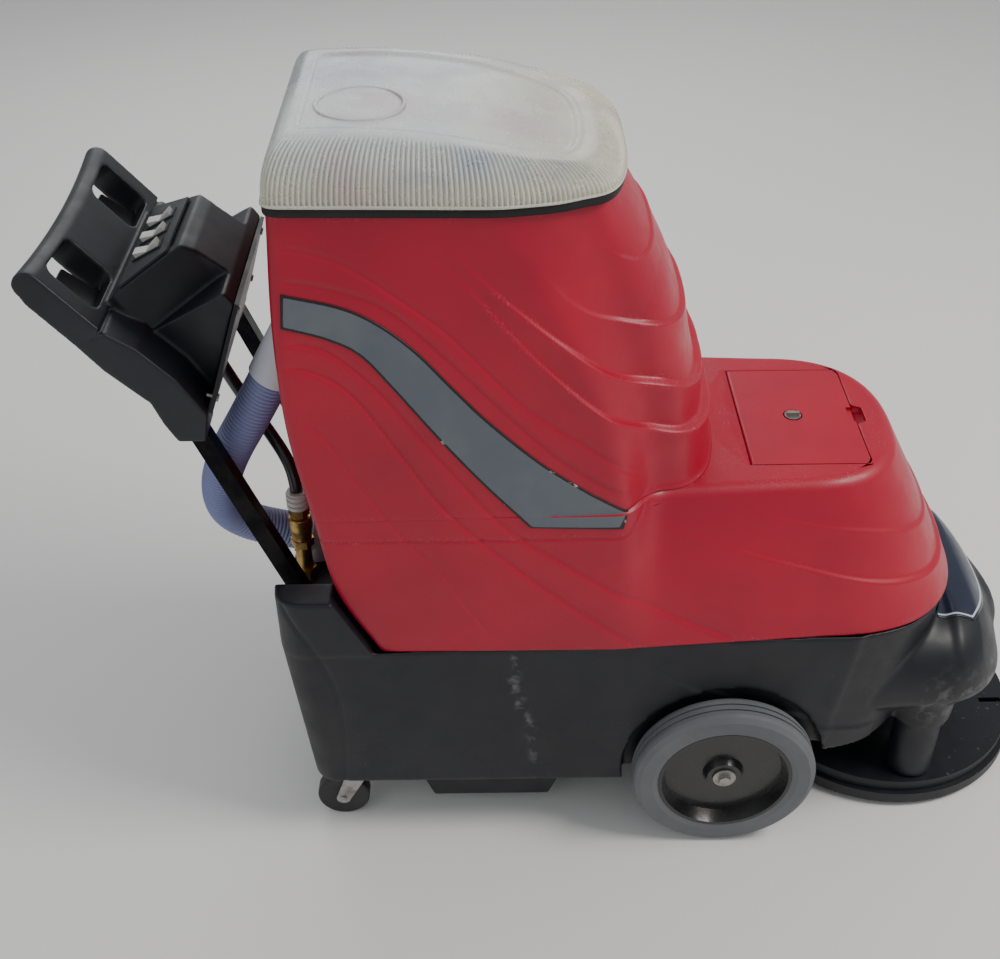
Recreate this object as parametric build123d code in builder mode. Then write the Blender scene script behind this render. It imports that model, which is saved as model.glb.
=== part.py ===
"""Walk-behind floor scrubber with a round cleaning head.

A black moulded base carries two red tanks, one on top of the other. The lower one holds clean
solution and has a deck with a hatch, the upper one holds the recovered water under a clear dome.
A round cleaning head turns under the nose, two large wheels and two casters carry the machine, and
a moulded handle on two steel tubes rises behind it.

Frame: +X is forward, +Y is to the machine's left, +Z is up. The floor is z = 0. Millimetres.
"""

from build123d import *
import os
from math import cos, pi, radians, sin, tan

os.makedirs("parts", exist_ok=True)

# ---------------------------------------------------------------- clearances
TOUCH = 0.4  # between curved faces of different bodies
SEAT = 0.2  # between pieces that are fastened together
RUN = 0.05  # radial running clearance of a shaft in its bore

# ---------------------------------------------------------------- driving dimensions
WALL = 5.0  # wall of the large mouldings
BASE_Z = 105.0  # underside of the base
NOSE_FLOOR_Z = 150.0  # underside of the base over the cleaning head
SEAM_Z = 350.0  # joint between base and solution tank
DECK_Z = 560.0  # top of the solution tank
RIM_Z = 945.0  # top rim of the recovery tank
GASKET_T = 10.0
LID_H = 65.0  # height of the clear dome

BASE_REAR_X = -420.0
BASE_REAR_LEAN = 25.0  # how far the rear wall leans in towards the floor
BASE_HW = 240.0
BASE_FRONT_X = 502.0
TOWER_Z = 440.0  # cheeks of the rear tower
TOWER_GAP = 6.0  # between the tower and the solution tank's rear
TOWER_CHEEK = 45.0
TOWER_DECK_Z = SEAM_Z + 6.0  # sunk deck where the hoses and tubes enter

TANK_REAR_X = -291.0
TANK_BELLY_X = -334.0  # rear of the solution tank at the height of its bulge
TANK_BELLY_Z = 433.0
TANK_FRONT_X = 508.0
DECK_REAR_X = -360.0
DECK_FRONT_X = 400.0
DECK_T = 14.0
RIM_REAR_X = -381.0
RIM_FRONT_X = 18.0

AXLE_X = 180.0
WHEEL_R = 127.0
WHEEL_W = 45.0
WHEEL_Y = BASE_HW + 6.0
RIM_R = 93.0  # seat of the tyre on its hub
AXLE_R = 10.0
HUB_R = 24.0
WELL_GAP = 14.0  # around the wheel
WELL_R = WHEEL_R + WELL_GAP
WELL_Y = WHEEL_Y - WHEEL_W / 2 - 9.0

CASTER_X = -336.0  # swivel axis
CASTER_Y = BASE_HW - 44.0
CASTER_TRAIL = 25.0
CASTER_R = 37.5
CASTER_W = 24.0
CASTER_AXLE_R = 5.0
CASTER_PIN_R = 6.0
FORK_T = 3.0
FORK_TOP_Z = BASE_Z - 12.0

HEAD_X = 460.0
COVER_R = 210.0
COVER_TOP_Z = 46.0
COVER_T = 5.0
SKIRT_T = 6.0
PLATE_R = 182.0
PLATE_Z = 22.0
PLATE_T = 8.0
SPINDLE_R = 12.5
BEARING_R = 26.0
BEARING_T = 12.0
SPINDLE_HOUSING_R = 34.0
BELT_Z = NOSE_FLOOR_Z + WALL + 12.0  # middle of the belt
BELT_W = 14.0
BELT_T = 4.0
DRIVEN_R = 60.0
MOTOR_PULLEY_R = 20.0
MOTOR_X = 350.0
MOTOR_R = 52.0
MOTOR_H = 144.0
MOTOR_SHAFT_R = 8.0
NOSE_R = 148.0
NOSE_TOP_Z = 276.0
LEG_R = 33.0
LEG_X = 474.0
LEG_Y = 163.0
SHOULDER_R = 46.0

HATCH_REAR_X = 196.0
HATCH_FRONT_X = 352.0
HATCH_HW = 112.0
HATCH_T = 8.0
HATCH_GAP = 1.5
FILL_MARGIN = 20.0  # ledge that the hatch rests on
HATCH_PIN_R = 2.0
KNOB_R = 11.0

PIPE_X = -100.0  # standpipe and vacuum motor
PIPE_R = 24.0
PIPE_WALL = 3.0
PIPE_TOP_Z = RIM_Z - 85.0
CAGE_R = 33.0
CAGE_PLATE_T = 4.0
BALL_R = 19.0
BALL_TRAVEL = 12.0
CAGE_H = 2 * BALL_R + BALL_TRAVEL + 12.0
BALL_SINK = 14.0  # height of the ball's middle over its seat
FAN_R = 60.0
VAC_SHAFT_R = 5.0

TUBE_W = 22.0
TUBE_WALL = 2.0
TUBE_Y = BASE_HW - 90.0
TUBE_FOOT = Vector(-360.6, 0, 300)
TUBE_HEAD = Vector(-514.0, 0, 700)

GRIP_HW = TUBE_Y + 26.0
GRIP_R = 17.0
HANDLE_SLOPE = 50.0
HANDLE_T = 38.0
WINDOW_IN = 62.0
WINDOW_OUT = GRIP_HW - 30.0
WINDOW_L = 76.0
BOX_LOW_HW = 115.0
BOX_TOP_HW = 72.0
PANEL_L = 74.0
PANEL_T = 3.0
SHELL_T = 4.0
SWITCH_PITCH = 42.0
SWITCH_L = 34.0
SWITCH_W = 17.0
ROCKER_PIVOT = 2.5  # height of the rocker's axis above the panel's seat
TRIGGER_T = 7.0
TRIGGER_PIN_R = 2.5

VAC_HOSE_R = 26.0
VAC_PORT_R = 20.0
SOLUTION_HOSE_R = 8.5
COUPLER_X = -399.0
COUPLER_Y = -80.0
GLAND_Y = 60.0
GLAND_Z = 300.0
GLAND_BORE_R = 6.0
GLAND_L = 26.0

# Routes of the two hoses, from the upper end to the lower end
VAC_ROUTE = [
    (-408, -105, 699),
    (-440, -105, 641),
    (-474, -100, 583),
    (-497, -86, 525),
    (-500, -68, 466),
    (-474, -53, 430),
    (-438, -41, 409),
    (-402, -30, 392),
]
SOLUTION_ROUTE = [
    (-488, -25, 676),
    (-472, -28, 640),
    (-452, -37, 608),
    (-429, -52, 577),
    (-409, -70, 552),
    (COUPLER_X - 1, COUPLER_Y + 1, 528),
    (COUPLER_X, COUPLER_Y, 503),
]

# Plan outlines by level: z, rear x, how far the rear corners stand in from the base's side, corners
# of the side wall as (x, distance in from the base's side) pairs, then the front's x. The front is a
# squarish half oval from the last pair.
BASE_LEVELS = [
    (BASE_Z, BASE_REAR_X + BASE_REAR_LEAN, 0, [(250, 0)], 470.0),
    (SEAM_Z, BASE_REAR_X, 0, [(300, 23)], BASE_FRONT_X),
]
SOLUTION_LEVELS = [
    (SEAM_Z + SEAT, TANK_REAR_X, 9, [(30, 8), (72, 12), (300, 27)], TANK_FRONT_X),
    (TANK_BELLY_Z, TANK_BELLY_X, 12, [(30, 14), (71, 33), (281, 48)], 467),
    (DECK_Z, DECK_REAR_X, 18, [(30, 26), (70, 74), (250, 84)], DECK_FRONT_X),
]
RECOVERY_LEVELS = [
    (DECK_Z + SEAT, DECK_REAR_X, 18, [(30, 26), (66, 73), (80, 75)], 160),
    (672, -379, 26, [(6, 35), (46, 74), (62, 79)], 136),
    (800, -385, 37, [(-45, 45), (5, 77), (18, 84)], 98),
    (RIM_Z, RIM_REAR_X, 64, [(-126, 56), (-61, 67), (-28, 84)], RIM_FRONT_X),
]
LID_LEVELS = [
    (RIM_Z + GASKET_T + 2 * SEAT, RIM_REAR_X - 2, 62, [(-126, 54), (-61, 65), (-28, 82)], 20),
    (RIM_Z + GASKET_T + 36, -366, 80, [(-126, 72), (-80, 83), (-55, 108)], -48),
    (RIM_Z + GASKET_T + LID_H, -351, 128, [(-210, 127), (-190, 132), (-180, 146)], -134),
]
REAR_CORNER = 36.0

# Cuffs of the vacuum hose: the upper one points up into the tank's rear wall, the lower one is an
# elbow on the tower's deck
CUFF_R = VAC_HOSE_R + 3.0
UPPER_CUFF = Plane(VAC_ROUTE[0], z_dir=Vector(*VAC_ROUTE[0]) - Vector(*VAC_ROUTE[1]))
UPPER_CUFF_L = 104.0
LOWER_CUFF = Plane(VAC_ROUTE[-1], z_dir=Vector(*VAC_ROUTE[-1]) - Vector(*VAC_ROUTE[-2]))
ELBOW = LOWER_CUFF.origin + 16 * LOWER_CUFF.z_dir


# ---------------------------------------------------------------- helpers
def save(piece, name):
    """Labels a finished sub-part and writes its STEP file."""
    piece.part.label = name
    export_step(piece.part, f"parts/{name}.step")


def front_curve(side_x, side_hw, front_x, power=2.5):
    """Points of a squarish half oval, from the left side round the front to the right side."""
    points = [(side_x, side_hw)]
    for step in range(7, -8, -1):
        angle = radians(90.0 * step / 8)
        along = cos(angle) ** (2 / power)
        across = abs(sin(angle)) ** (2 / power) * (1 if step > 0 else -1)
        points.append((side_x + (front_x - side_x) * along, side_hw * across))
    return points + [(side_x, -side_hw)]


def hull(rear_x, rear_in, side, front_x, inset=0.0):
    """Plan outline of a moulding as a face at z = 0, moved inwards by the inset."""
    left = [(x - inset * (x < side[-1][0]), BASE_HW - inward - inset) for x, inward in side]
    right = [(x, -hw) for x, hw in reversed(left)]
    rear, rear_hw = rear_x + inset, BASE_HW - rear_in - inset
    with BuildSketch(Plane.XY) as outline:
        with BuildLine():
            Polyline(*right, (rear, -rear_hw), (rear, rear_hw), *left)
            Spline(*front_curve(*left[-1], front_x - inset), tangents=((1, 0), (-1, 0)))
        make_face()
        fillet(outline.vertices().group_by(Axis.X)[0], REAR_CORNER - inset)
    return outline.sketch


def sections(levels, inset=0.0, low=None, high=None):
    """Draws the outlines of a moulding, level by level, for a loft. The first and last level can
    be moved to another height, as the floor and the roof of a cavity."""
    for index, (z, *shape) in enumerate(levels):
        if index == 0 and low is not None:
            z = low
        if index == len(levels) - 1 and high is not None:
            z = high
        yield Plane.XY.offset(z), hull(*shape, inset)


def at_head(height):
    return Plane((HEAD_X, 0, height))


def tube_plane(side):
    """Plane across a handle tube at its foot, with its normal up along the tube."""
    return Plane(TUBE_FOOT + Vector(0, side * TUBE_Y, 0), (0, 1, 0), TUBE_HEAD - TUBE_FOOT)


def corner_radii(route):
    """Largest radii that leave a tenth of the shorter run straight at each corner."""
    points = [Vector(*point) for point in route]
    radii = []
    for before, here, after in zip(points, points[1:], points[2:]):
        turn = radians((here - before).get_angle(after - here))
        radii.append(0.45 * min((here - before).length, (after - here).length) / tan(turn / 2))
    return radii


def print_route(name, route, radius, solid):
    """Prints the radii of a hose's bends and compares its volume with section times length."""
    length = FilletPolyline(*route, radius=corner_radii(route), mode=Mode.PRIVATE).length
    ratio = solid.volume / (pi * radius**2 * length)
    print(name, "length", round(length), "radii", [round(r) for r in corner_radii(route)])
    print(name, "volume over section times length", round(ratio, 4))


# ---------------------------------------------------------------- base housing
with BuildPart() as base_cavity:
    for plane, face in sections(BASE_LEVELS, WALL, BASE_Z + WALL, SEAM_Z):
        with BuildSketch(plane):
            add(face)
    loft(ruled=True)
    for side in (1, -1):
        with Locations((AXLE_X, side * (WELL_Y + 50 - WALL), WHEEL_R)):
            Cylinder(WELL_R + WALL, 100, rotation=(90, 0, 0), mode=Mode.SUBTRACT)
    with BuildSketch(Plane.XZ):
        Polygon(
            (MOTOR_X - MOTOR_R - 10, BASE_Z),
            (MOTOR_X - MOTOR_R, NOSE_FLOOR_Z + WALL),
            (HEAD_X + NOSE_R, NOSE_FLOOR_Z + WALL),
            (HEAD_X + NOSE_R, BASE_Z),
            align=None,
        )
    extrude(amount=BASE_HW, both=True, mode=Mode.SUBTRACT)

with BuildPart() as base_housing:
    for plane, face in sections(BASE_LEVELS):
        with BuildSketch(plane):
            add(face)
    loft(ruled=True)
    # Nose over the cleaning head, with its shoulders
    with BuildSketch(at_head(NOSE_FLOOR_Z)):
        Circle(NOSE_R)
    extrude(amount=NOSE_TOP_Z - NOSE_FLOOR_Z)
    with Locations((LEG_X, LEG_Y - 10, NOSE_FLOOR_Z), (LEG_X, 10 - LEG_Y, NOSE_FLOOR_Z)):
        Cylinder(SHOULDER_R, 100, align=(Align.CENTER, Align.CENTER, Align.MIN))
    # Underside stepped up over the head
    with BuildSketch(Plane.XZ):
        Polygon(
            (MOTOR_X - MOTOR_R - 10 - WALL, BASE_Z - 1),
            (MOTOR_X - MOTOR_R - WALL, NOSE_FLOOR_Z),
            (HEAD_X + COVER_R, NOSE_FLOOR_Z),
            (HEAD_X + COVER_R, BASE_Z - 1),
            align=None,
        )
    extrude(amount=BASE_HW + 40, both=True, mode=Mode.SUBTRACT)
    # Legs that stand on the head cover
    with BuildSketch(Plane.XY.offset(COVER_TOP_Z + SEAT)):
        with Locations((LEG_X, LEG_Y), (LEG_X, -LEG_Y)):
            Circle(LEG_R)
    extrude(amount=NOSE_FLOOR_Z + 20 - COVER_TOP_Z)
    # Cavities of base and nose
    add(base_cavity.part, mode=Mode.SUBTRACT)
    with BuildSketch(at_head(NOSE_FLOOR_Z + WALL)):
        Circle(NOSE_R - WALL)
    extrude(amount=NOSE_TOP_Z - NOSE_FLOOR_Z - 2 * WALL, mode=Mode.SUBTRACT)
    # Rear tower, sloped at the front to follow the solution tank
    with BuildSketch(Plane.XZ):
        Polygon(
            (BASE_REAR_X, SEAM_Z),
            (BASE_REAR_X, TOWER_Z),
            (TANK_BELLY_X - TOWER_GAP - 4, TOWER_Z),
            (TANK_BELLY_X - TOWER_GAP, TANK_BELLY_Z),
            (TANK_REAR_X - TOWER_GAP, SEAM_Z),
            align=None,
        )
    extrude(amount=BASE_HW, both=True)
    rear_corners = base_housing.edges().filter_by(Axis.Z).group_by(Axis.X)[0]
    fillet(rear_corners.filter_by_position(Axis.Z, SEAM_Z, TOWER_Z), REAR_CORNER)
    with BuildSketch(Plane.XZ):
        Polygon(
            (BASE_REAR_X - 1, TOWER_DECK_Z),
            (BASE_REAR_X - 1, TOWER_Z + 1),
            (TANK_REAR_X, TOWER_Z + 1),
            (TANK_REAR_X, TOWER_DECK_Z),
            align=None,
        )
    extrude(amount=BASE_HW - TOWER_CHEEK, both=True, mode=Mode.SUBTRACT)
    # Wheel wells and the axle's holes
    for side in (1, -1):
        with Locations((AXLE_X, side * (WELL_Y + 50), WHEEL_R)):
            Cylinder(WELL_R, 100, rotation=(90, 0, 0), mode=Mode.SUBTRACT)
    with Locations((AXLE_X, 0, WHEEL_R)):
        Cylinder(AXLE_R + SEAT, 2 * BASE_HW, rotation=(90, 0, 0), mode=Mode.SUBTRACT)
    # Openings for the spindle, the handle tubes, the hose and the cable gland
    with BuildSketch(at_head(NOSE_FLOOR_Z - 1)):
        Circle(SPINDLE_HOUSING_R + 6)
    extrude(amount=WALL + 2, mode=Mode.SUBTRACT)
    for side in (1, -1):
        with BuildSketch(tube_plane(side)):
            Rectangle(TUBE_W + 2 * SEAT, TUBE_W + 2 * SEAT)
        extrude(amount=120, mode=Mode.SUBTRACT)
    with Locations(ELBOW):
        Cylinder(VAC_PORT_R, 200, mode=Mode.SUBTRACT)
    with Locations((BASE_REAR_X + 10, GLAND_Y, GLAND_Z)):
        Cylinder(GLAND_BORE_R + 4 + SEAT, 60, rotation=(0, 90, 0), mode=Mode.SUBTRACT)
save(base_housing, "base_housing")

# ---------------------------------------------------------------- belly pan under the base
PAN_REAR_X = -225.0
PAN_FRONT_X = -65.0
PAN_HW = BASE_HW - 35.0
PAN_Z = 30.0
with BuildPart() as belly_pan:
    with BuildSketch(Plane.XZ):
        Polygon(
            (PAN_REAR_X - 30, BASE_Z - SEAT),
            (PAN_REAR_X, PAN_Z),
            (PAN_FRONT_X, PAN_Z),
            (PAN_FRONT_X + 30, BASE_Z - SEAT),
            align=None,
        )
    extrude(amount=PAN_HW, both=True)
    fillet(belly_pan.edges().group_by(Axis.Z)[0], 10)
    offset(amount=-WALL, openings=belly_pan.faces().sort_by(Axis.Z)[-1])
save(belly_pan, "belly_pan")

# ---------------------------------------------------------------- solution tank
HATCH_MID_X = (HATCH_REAR_X + HATCH_FRONT_X) / 2
HATCH_L = HATCH_FRONT_X - HATCH_REAR_X
HATCH_PIVOT = (HATCH_REAR_X + HATCH_T / 2, 0, DECK_Z - HATCH_T / 2)
HATCH_PIN_L = 2 * (HATCH_HW + HATCH_GAP) + 10
with BuildPart() as solution_tank:
    for plane, face in sections(SOLUTION_LEVELS):
        with BuildSketch(plane):
            add(face)
    loft(ruled=True)
    for plane, face in sections(SOLUTION_LEVELS, WALL, SEAM_Z + WALL, DECK_Z - DECK_T):
        with BuildSketch(plane):
            add(face)
    loft(ruled=True, mode=Mode.SUBTRACT)
    # Seat of the hatch, with the fill mouth inside it
    with BuildSketch(Plane.XY.offset(DECK_Z)):
        with Locations((HATCH_MID_X, 0)):
            Rectangle(HATCH_L + 2 * HATCH_GAP, 2 * (HATCH_HW + HATCH_GAP))
    extrude(amount=-HATCH_T - TOUCH, mode=Mode.SUBTRACT)
    with BuildSketch(Plane.XY.offset(DECK_Z)):
        with Locations((HATCH_MID_X, 0)):
            RectangleRounded(HATCH_L - 2 * FILL_MARGIN, 2 * (HATCH_HW - FILL_MARGIN), 12)
    extrude(amount=-DECK_T - 1, mode=Mode.SUBTRACT)
    # Finger notch ahead of the hatch
    with Locations((HATCH_FRONT_X + HATCH_GAP, 0, DECK_Z)):
        Cylinder(16, 12, mode=Mode.SUBTRACT)
    # Holes of the hinge pin and of the standpipe
    with Locations(HATCH_PIVOT):
        Cylinder(HATCH_PIN_R + RUN, HATCH_PIN_L + 1, rotation=(90, 0, 0), mode=Mode.SUBTRACT)
    with Locations((PIPE_X, 0, SEAM_Z)):
        Cylinder(PIPE_R + SEAT, 600, mode=Mode.SUBTRACT)
save(solution_tank, "solution_tank")

# ---------------------------------------------------------------- hatch, its pin, knob, strainer
with BuildPart() as deck_hatch:
    with BuildSketch(Plane.XZ.offset(-HATCH_HW)):
        with BuildLine():
            Polyline(
                (HATCH_PIVOT[0], DECK_Z),
                (HATCH_FRONT_X, DECK_Z),
                (HATCH_FRONT_X, DECK_Z - HATCH_T),
                (HATCH_PIVOT[0], DECK_Z - HATCH_T),
            )
            ThreePointArc(
                (HATCH_PIVOT[0], DECK_Z - HATCH_T),
                (HATCH_REAR_X, HATCH_PIVOT[2]),
                (HATCH_PIVOT[0], DECK_Z),
            )
        make_face()
    extrude(amount=2 * HATCH_HW)
    fillet(deck_hatch.edges().filter_by(Axis.Z).group_by(Axis.X)[-1], 5)
    with Locations(HATCH_PIVOT):
        Cylinder(HATCH_PIN_R + RUN, 2 * HATCH_HW + 2, rotation=(90, 0, 0), mode=Mode.SUBTRACT)
    with BuildSketch(Plane.XY.offset(DECK_Z)):
        with Locations((HATCH_FRONT_X, 0)):
            Rectangle(14, 34)
        with Locations((HATCH_MID_X - 4, 0)):
            Circle(KNOB_R + 2)
    extrude(amount=-HATCH_T / 2, mode=Mode.SUBTRACT)
    with Locations((HATCH_MID_X - 4, 0, DECK_Z)):
        Cylinder(3 + RUN, 3 * HATCH_T, mode=Mode.SUBTRACT)
save(deck_hatch, "deck_hatch")

with BuildPart() as hatch_pin:
    with Locations(HATCH_PIVOT):
        Cylinder(HATCH_PIN_R, HATCH_PIN_L, rotation=(90, 0, 0))
save(hatch_pin, "hatch_pin")

with BuildPart() as hatch_knob:
    with BuildSketch(Plane.XY.offset(DECK_Z - HATCH_T / 2 + TOUCH)):
        with Locations((HATCH_MID_X - 4, 0)):
            Circle(KNOB_R)
    extrude(amount=4)
    with BuildSketch(Plane.XY.offset(DECK_Z - HATCH_T / 2)):
        with Locations((HATCH_MID_X - 4, 0)):
            Rectangle(2 * KNOB_R - 5, 5)
    extrude(amount=9)
    with BuildSketch(Plane.XY.offset(DECK_Z - HATCH_T - 4)):
        with Locations((HATCH_MID_X - 4, 0)):
            Circle(3)
    extrude(amount=10)
save(hatch_knob, "hatch_knob")

STRAINER_DEPTH = 70.0
with BuildPart() as fill_strainer:
    with BuildSketch(Plane.XY.offset(DECK_Z - DECK_T - STRAINER_DEPTH)):
        with Locations((HATCH_MID_X, 0)):
            RectangleRounded(HATCH_L - 2 * FILL_MARGIN - 4, 2 * (HATCH_HW - FILL_MARGIN) - 4, 10)
    extrude(amount=STRAINER_DEPTH + DECK_T - HATCH_T - 6)
    offset(amount=-2, openings=fill_strainer.faces().sort_by(Axis.Z)[-1])
    with Locations((HATCH_MID_X, 0, DECK_Z - DECK_T - STRAINER_DEPTH)):
        with GridLocations(22, 22, 4, 7):
            Cylinder(7, 12, mode=Mode.SUBTRACT)
save(fill_strainer, "fill_strainer")

# ---------------------------------------------------------------- recovery tank, gasket and lid
with BuildPart() as recovery_tank:
    for plane, face in sections(RECOVERY_LEVELS):
        with BuildSketch(plane):
            add(face)
    loft(ruled=True)
    for plane, face in sections(RECOVERY_LEVELS, WALL, DECK_Z + WALL, RIM_Z + 1):
        with BuildSketch(plane):
            add(face)
    loft(ruled=True, mode=Mode.SUBTRACT)
    with Locations((PIPE_X, 0, DECK_Z)):
        Cylinder(PIPE_R + SEAT, 20, mode=Mode.SUBTRACT)
    with BuildSketch(UPPER_CUFF):
        Circle(CUFF_R + SEAT)
    extrude(amount=UPPER_CUFF_L + 10, mode=Mode.SUBTRACT)
save(recovery_tank, "recovery_tank")

with BuildPart() as lid_gasket:
    with BuildSketch(Plane.XY.offset(RIM_Z + SEAT)):
        add(hull(*RECOVERY_LEVELS[-1][1:], inset=-2))
        add(hull(*RECOVERY_LEVELS[-1][1:], inset=9), mode=Mode.SUBTRACT)
    extrude(amount=GASKET_T)
save(lid_gasket, "lid_gasket")

LID_T = 3.5
with BuildPart() as recovery_lid:
    for plane, face in sections(LID_LEVELS):
        with BuildSketch(plane):
            add(face)
    loft(ruled=True)
    inner_top = RIM_Z + GASKET_T + LID_H - LID_T
    for plane, face in sections(LID_LEVELS, LID_T, RIM_Z + GASKET_T - 1, inner_top):
        with BuildSketch(plane):
            add(face)
    loft(ruled=True, mode=Mode.SUBTRACT)
save(recovery_lid, "recovery_lid")

# ---------------------------------------------------------------- standpipe, float cage and ball
with BuildPart() as standpipe:
    with BuildSketch(Plane((PIPE_X, 0, SEAM_Z - 20))):
        Circle(PIPE_R)
        Circle(PIPE_R - PIPE_WALL, mode=Mode.SUBTRACT)
    extrude(amount=PIPE_TOP_Z - SEAM_Z + 20)
save(standpipe, "standpipe")

with BuildPart() as float_cage:
    with BuildSketch(Plane((PIPE_X, 0, PIPE_TOP_Z + SEAT))):
        Circle(CAGE_R)
        Circle(BALL_R - 4, mode=Mode.SUBTRACT)
    extrude(amount=CAGE_PLATE_T)
    with BuildSketch(Plane((PIPE_X, 0, PIPE_TOP_Z + SEAT))):
        with PolarLocations(CAGE_R - 4, 6):
            Circle(3)
    extrude(amount=CAGE_H)
    with BuildSketch(Plane((PIPE_X, 0, PIPE_TOP_Z + CAGE_H))):
        Circle(CAGE_R)
    extrude(amount=CAGE_PLATE_T)
save(float_cage, "float_cage")

BALL_Z = PIPE_TOP_Z + CAGE_PLATE_T + BALL_SINK + TOUCH
with BuildPart() as float_ball:
    with Locations((PIPE_X, 0, BALL_Z)):
        Sphere(BALL_R)
save(float_ball, "float_ball")

# ---------------------------------------------------------------- cleaning head, fixed pieces
with BuildPart() as head_cover:
    with BuildSketch(Plane.XZ) as cover_section:
        Polygon(
            (SPINDLE_HOUSING_R + 6, COVER_TOP_Z),
            (COVER_R - 7, COVER_TOP_Z),
            (COVER_R - 7, 27),
            (COVER_R, 27),
            (COVER_R, 9),
            (COVER_R - COVER_T, 9),
            (COVER_R - COVER_T, 23),
            (COVER_R - 7 - COVER_T, 23),
            (COVER_R - 7 - COVER_T, COVER_TOP_Z - COVER_T),
            (SPINDLE_HOUSING_R + 6, COVER_TOP_Z - COVER_T),
            align=None,
        )
    revolve(axis=Axis.Z)
    with Locations((COVER_R - 36, -41, COVER_TOP_Z)):
        Box(34, 9, 20, mode=Mode.SUBTRACT)
head_cover.part = Pos(HEAD_X, 0, 0) * head_cover.part
save(head_cover, "head_cover")

SKIRT_R = COVER_R - 7 - COVER_T - SEAT
with BuildPart() as splash_skirt:
    with BuildSketch(at_head(0)):
        Circle(SKIRT_R)
        Circle(SKIRT_R - SKIRT_T, mode=Mode.SUBTRACT)
    extrude(amount=COVER_TOP_Z - COVER_T - SEAT)
save(splash_skirt, "splash_skirt")

HOUSING_LOW_Z = COVER_TOP_Z + 14.0
with BuildPart() as spindle_housing:
    with BuildSketch(at_head(NOSE_FLOOR_Z - SEAT)):
        Circle(SPINDLE_HOUSING_R + 34)
    extrude(amount=-8)
    with BuildSketch(at_head(HOUSING_LOW_Z)):
        Circle(SPINDLE_HOUSING_R)
    extrude(amount=NOSE_FLOOR_Z - HOUSING_LOW_Z)
    with BuildSketch(at_head(HOUSING_LOW_Z - 1)):
        Circle(BEARING_R + SEAT)
    extrude(amount=NOSE_FLOOR_Z, mode=Mode.SUBTRACT)
    with Locations((HEAD_X, 0, NOSE_FLOOR_Z)):
        with PolarLocations(SPINDLE_HOUSING_R + 22, 6):
            Cylinder(4, 30, mode=Mode.SUBTRACT)
save(spindle_housing, "spindle_housing")

with BuildPart() as spindle_bearings:
    for bottom in (HOUSING_LOW_Z, NOSE_FLOOR_Z - BEARING_T):
        with BuildSketch(at_head(bottom)):
            Circle(BEARING_R)
            Circle(SPINDLE_R + RUN, mode=Mode.SUBTRACT)
        extrude(amount=BEARING_T)
save(spindle_bearings, "spindle_bearings")

# ---------------------------------------------------------------- cleaning head, turning pieces
BRUSHES = 5
BRUSH_CIRCLE_R = 113.0
with BuildPart() as spindle:
    with BuildSketch(at_head(PLATE_Z)):
        Circle(SPINDLE_R)
    extrude(amount=BELT_Z + BELT_W - PLATE_Z)
save(spindle, "spindle")

with BuildPart() as rotor_plate:
    with BuildSketch(at_head(PLATE_Z)):
        Circle(PLATE_R)
    extrude(amount=PLATE_T)
    with BuildSketch(at_head(PLATE_Z + PLATE_T)):
        Circle(SPINDLE_HOUSING_R)
    extrude(amount=COVER_TOP_Z - COVER_T - PLATE_Z - PLATE_T - 2)
    with BuildSketch(at_head(PLATE_Z - 1)):
        Circle(SPINDLE_R + RUN)
        with PolarLocations(BRUSH_CIRCLE_R, BRUSHES):
            SlotOverall(100, 12)
    extrude(amount=COVER_TOP_Z, mode=Mode.SUBTRACT)
save(rotor_plate, "rotor_plate")

with BuildPart() as rotor_brushes:
    with BuildSketch(at_head(2)):
        with PolarLocations(BRUSH_CIRCLE_R, BRUSHES, start_angle=180 / BRUSHES):
            SlotOverall(104, 40)
    extrude(amount=PLATE_Z - 2 - SEAT)
save(rotor_brushes, "rotor_brushes")

with BuildPart() as driven_pulley:
    with BuildSketch(at_head(BELT_Z - BELT_W / 2)):
        Circle(DRIVEN_R)
        Circle(SPINDLE_R + RUN, mode=Mode.SUBTRACT)
        with PolarLocations(DRIVEN_R - 22, 5):
            Circle(9, mode=Mode.SUBTRACT)
    extrude(amount=BELT_W)
save(driven_pulley, "driven_pulley")

# ---------------------------------------------------------------- belt, motor pulley and motor
with BuildPart() as drive_belt:
    with BuildSketch(Plane((0, 0, BELT_Z - BELT_W / 2 + 1))):
        for reach, mode in ((TOUCH + BELT_T, Mode.ADD), (TOUCH, Mode.SUBTRACT)):
            with BuildSketch(Plane.XY, mode=Mode.PRIVATE) as loop:
                with Locations((HEAD_X, 0)):
                    Circle(DRIVEN_R + reach)
                with Locations((MOTOR_X, 0)):
                    Circle(MOTOR_PULLEY_R + reach)
                make_hull()
            add(loop.sketch, mode=mode)
    extrude(amount=BELT_W - 2)
save(drive_belt, "drive_belt")

MOTOR_Z = BELT_Z + BELT_W / 2 + 12.0
with BuildPart() as motor_pulley:
    with BuildSketch(Plane((MOTOR_X, 0, BELT_Z - BELT_W / 2))):
        Circle(MOTOR_PULLEY_R)
        Circle(MOTOR_SHAFT_R + RUN, mode=Mode.SUBTRACT)
    extrude(amount=BELT_W)
save(motor_pulley, "motor_pulley")

with BuildPart() as motor_shaft:
    with BuildSketch(Plane((MOTOR_X, 0, BELT_Z - BELT_W / 2))):
        Circle(MOTOR_SHAFT_R)
    extrude(amount=MOTOR_Z + 50 - BELT_Z)
save(motor_shaft, "motor_shaft")

with BuildPart() as drive_motor:
    with BuildSketch(Plane((MOTOR_X, 0, MOTOR_Z))):
        Circle(MOTOR_R)
    extrude(amount=MOTOR_H)
    fillet(drive_motor.edges().filter_by(GeomType.CIRCLE), 5)
    with BuildSketch(Plane((MOTOR_X, 0, MOTOR_Z))):
        Circle(MOTOR_SHAFT_R + RUN)
    extrude(amount=60, mode=Mode.SUBTRACT)
save(drive_motor, "drive_motor")

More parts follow.
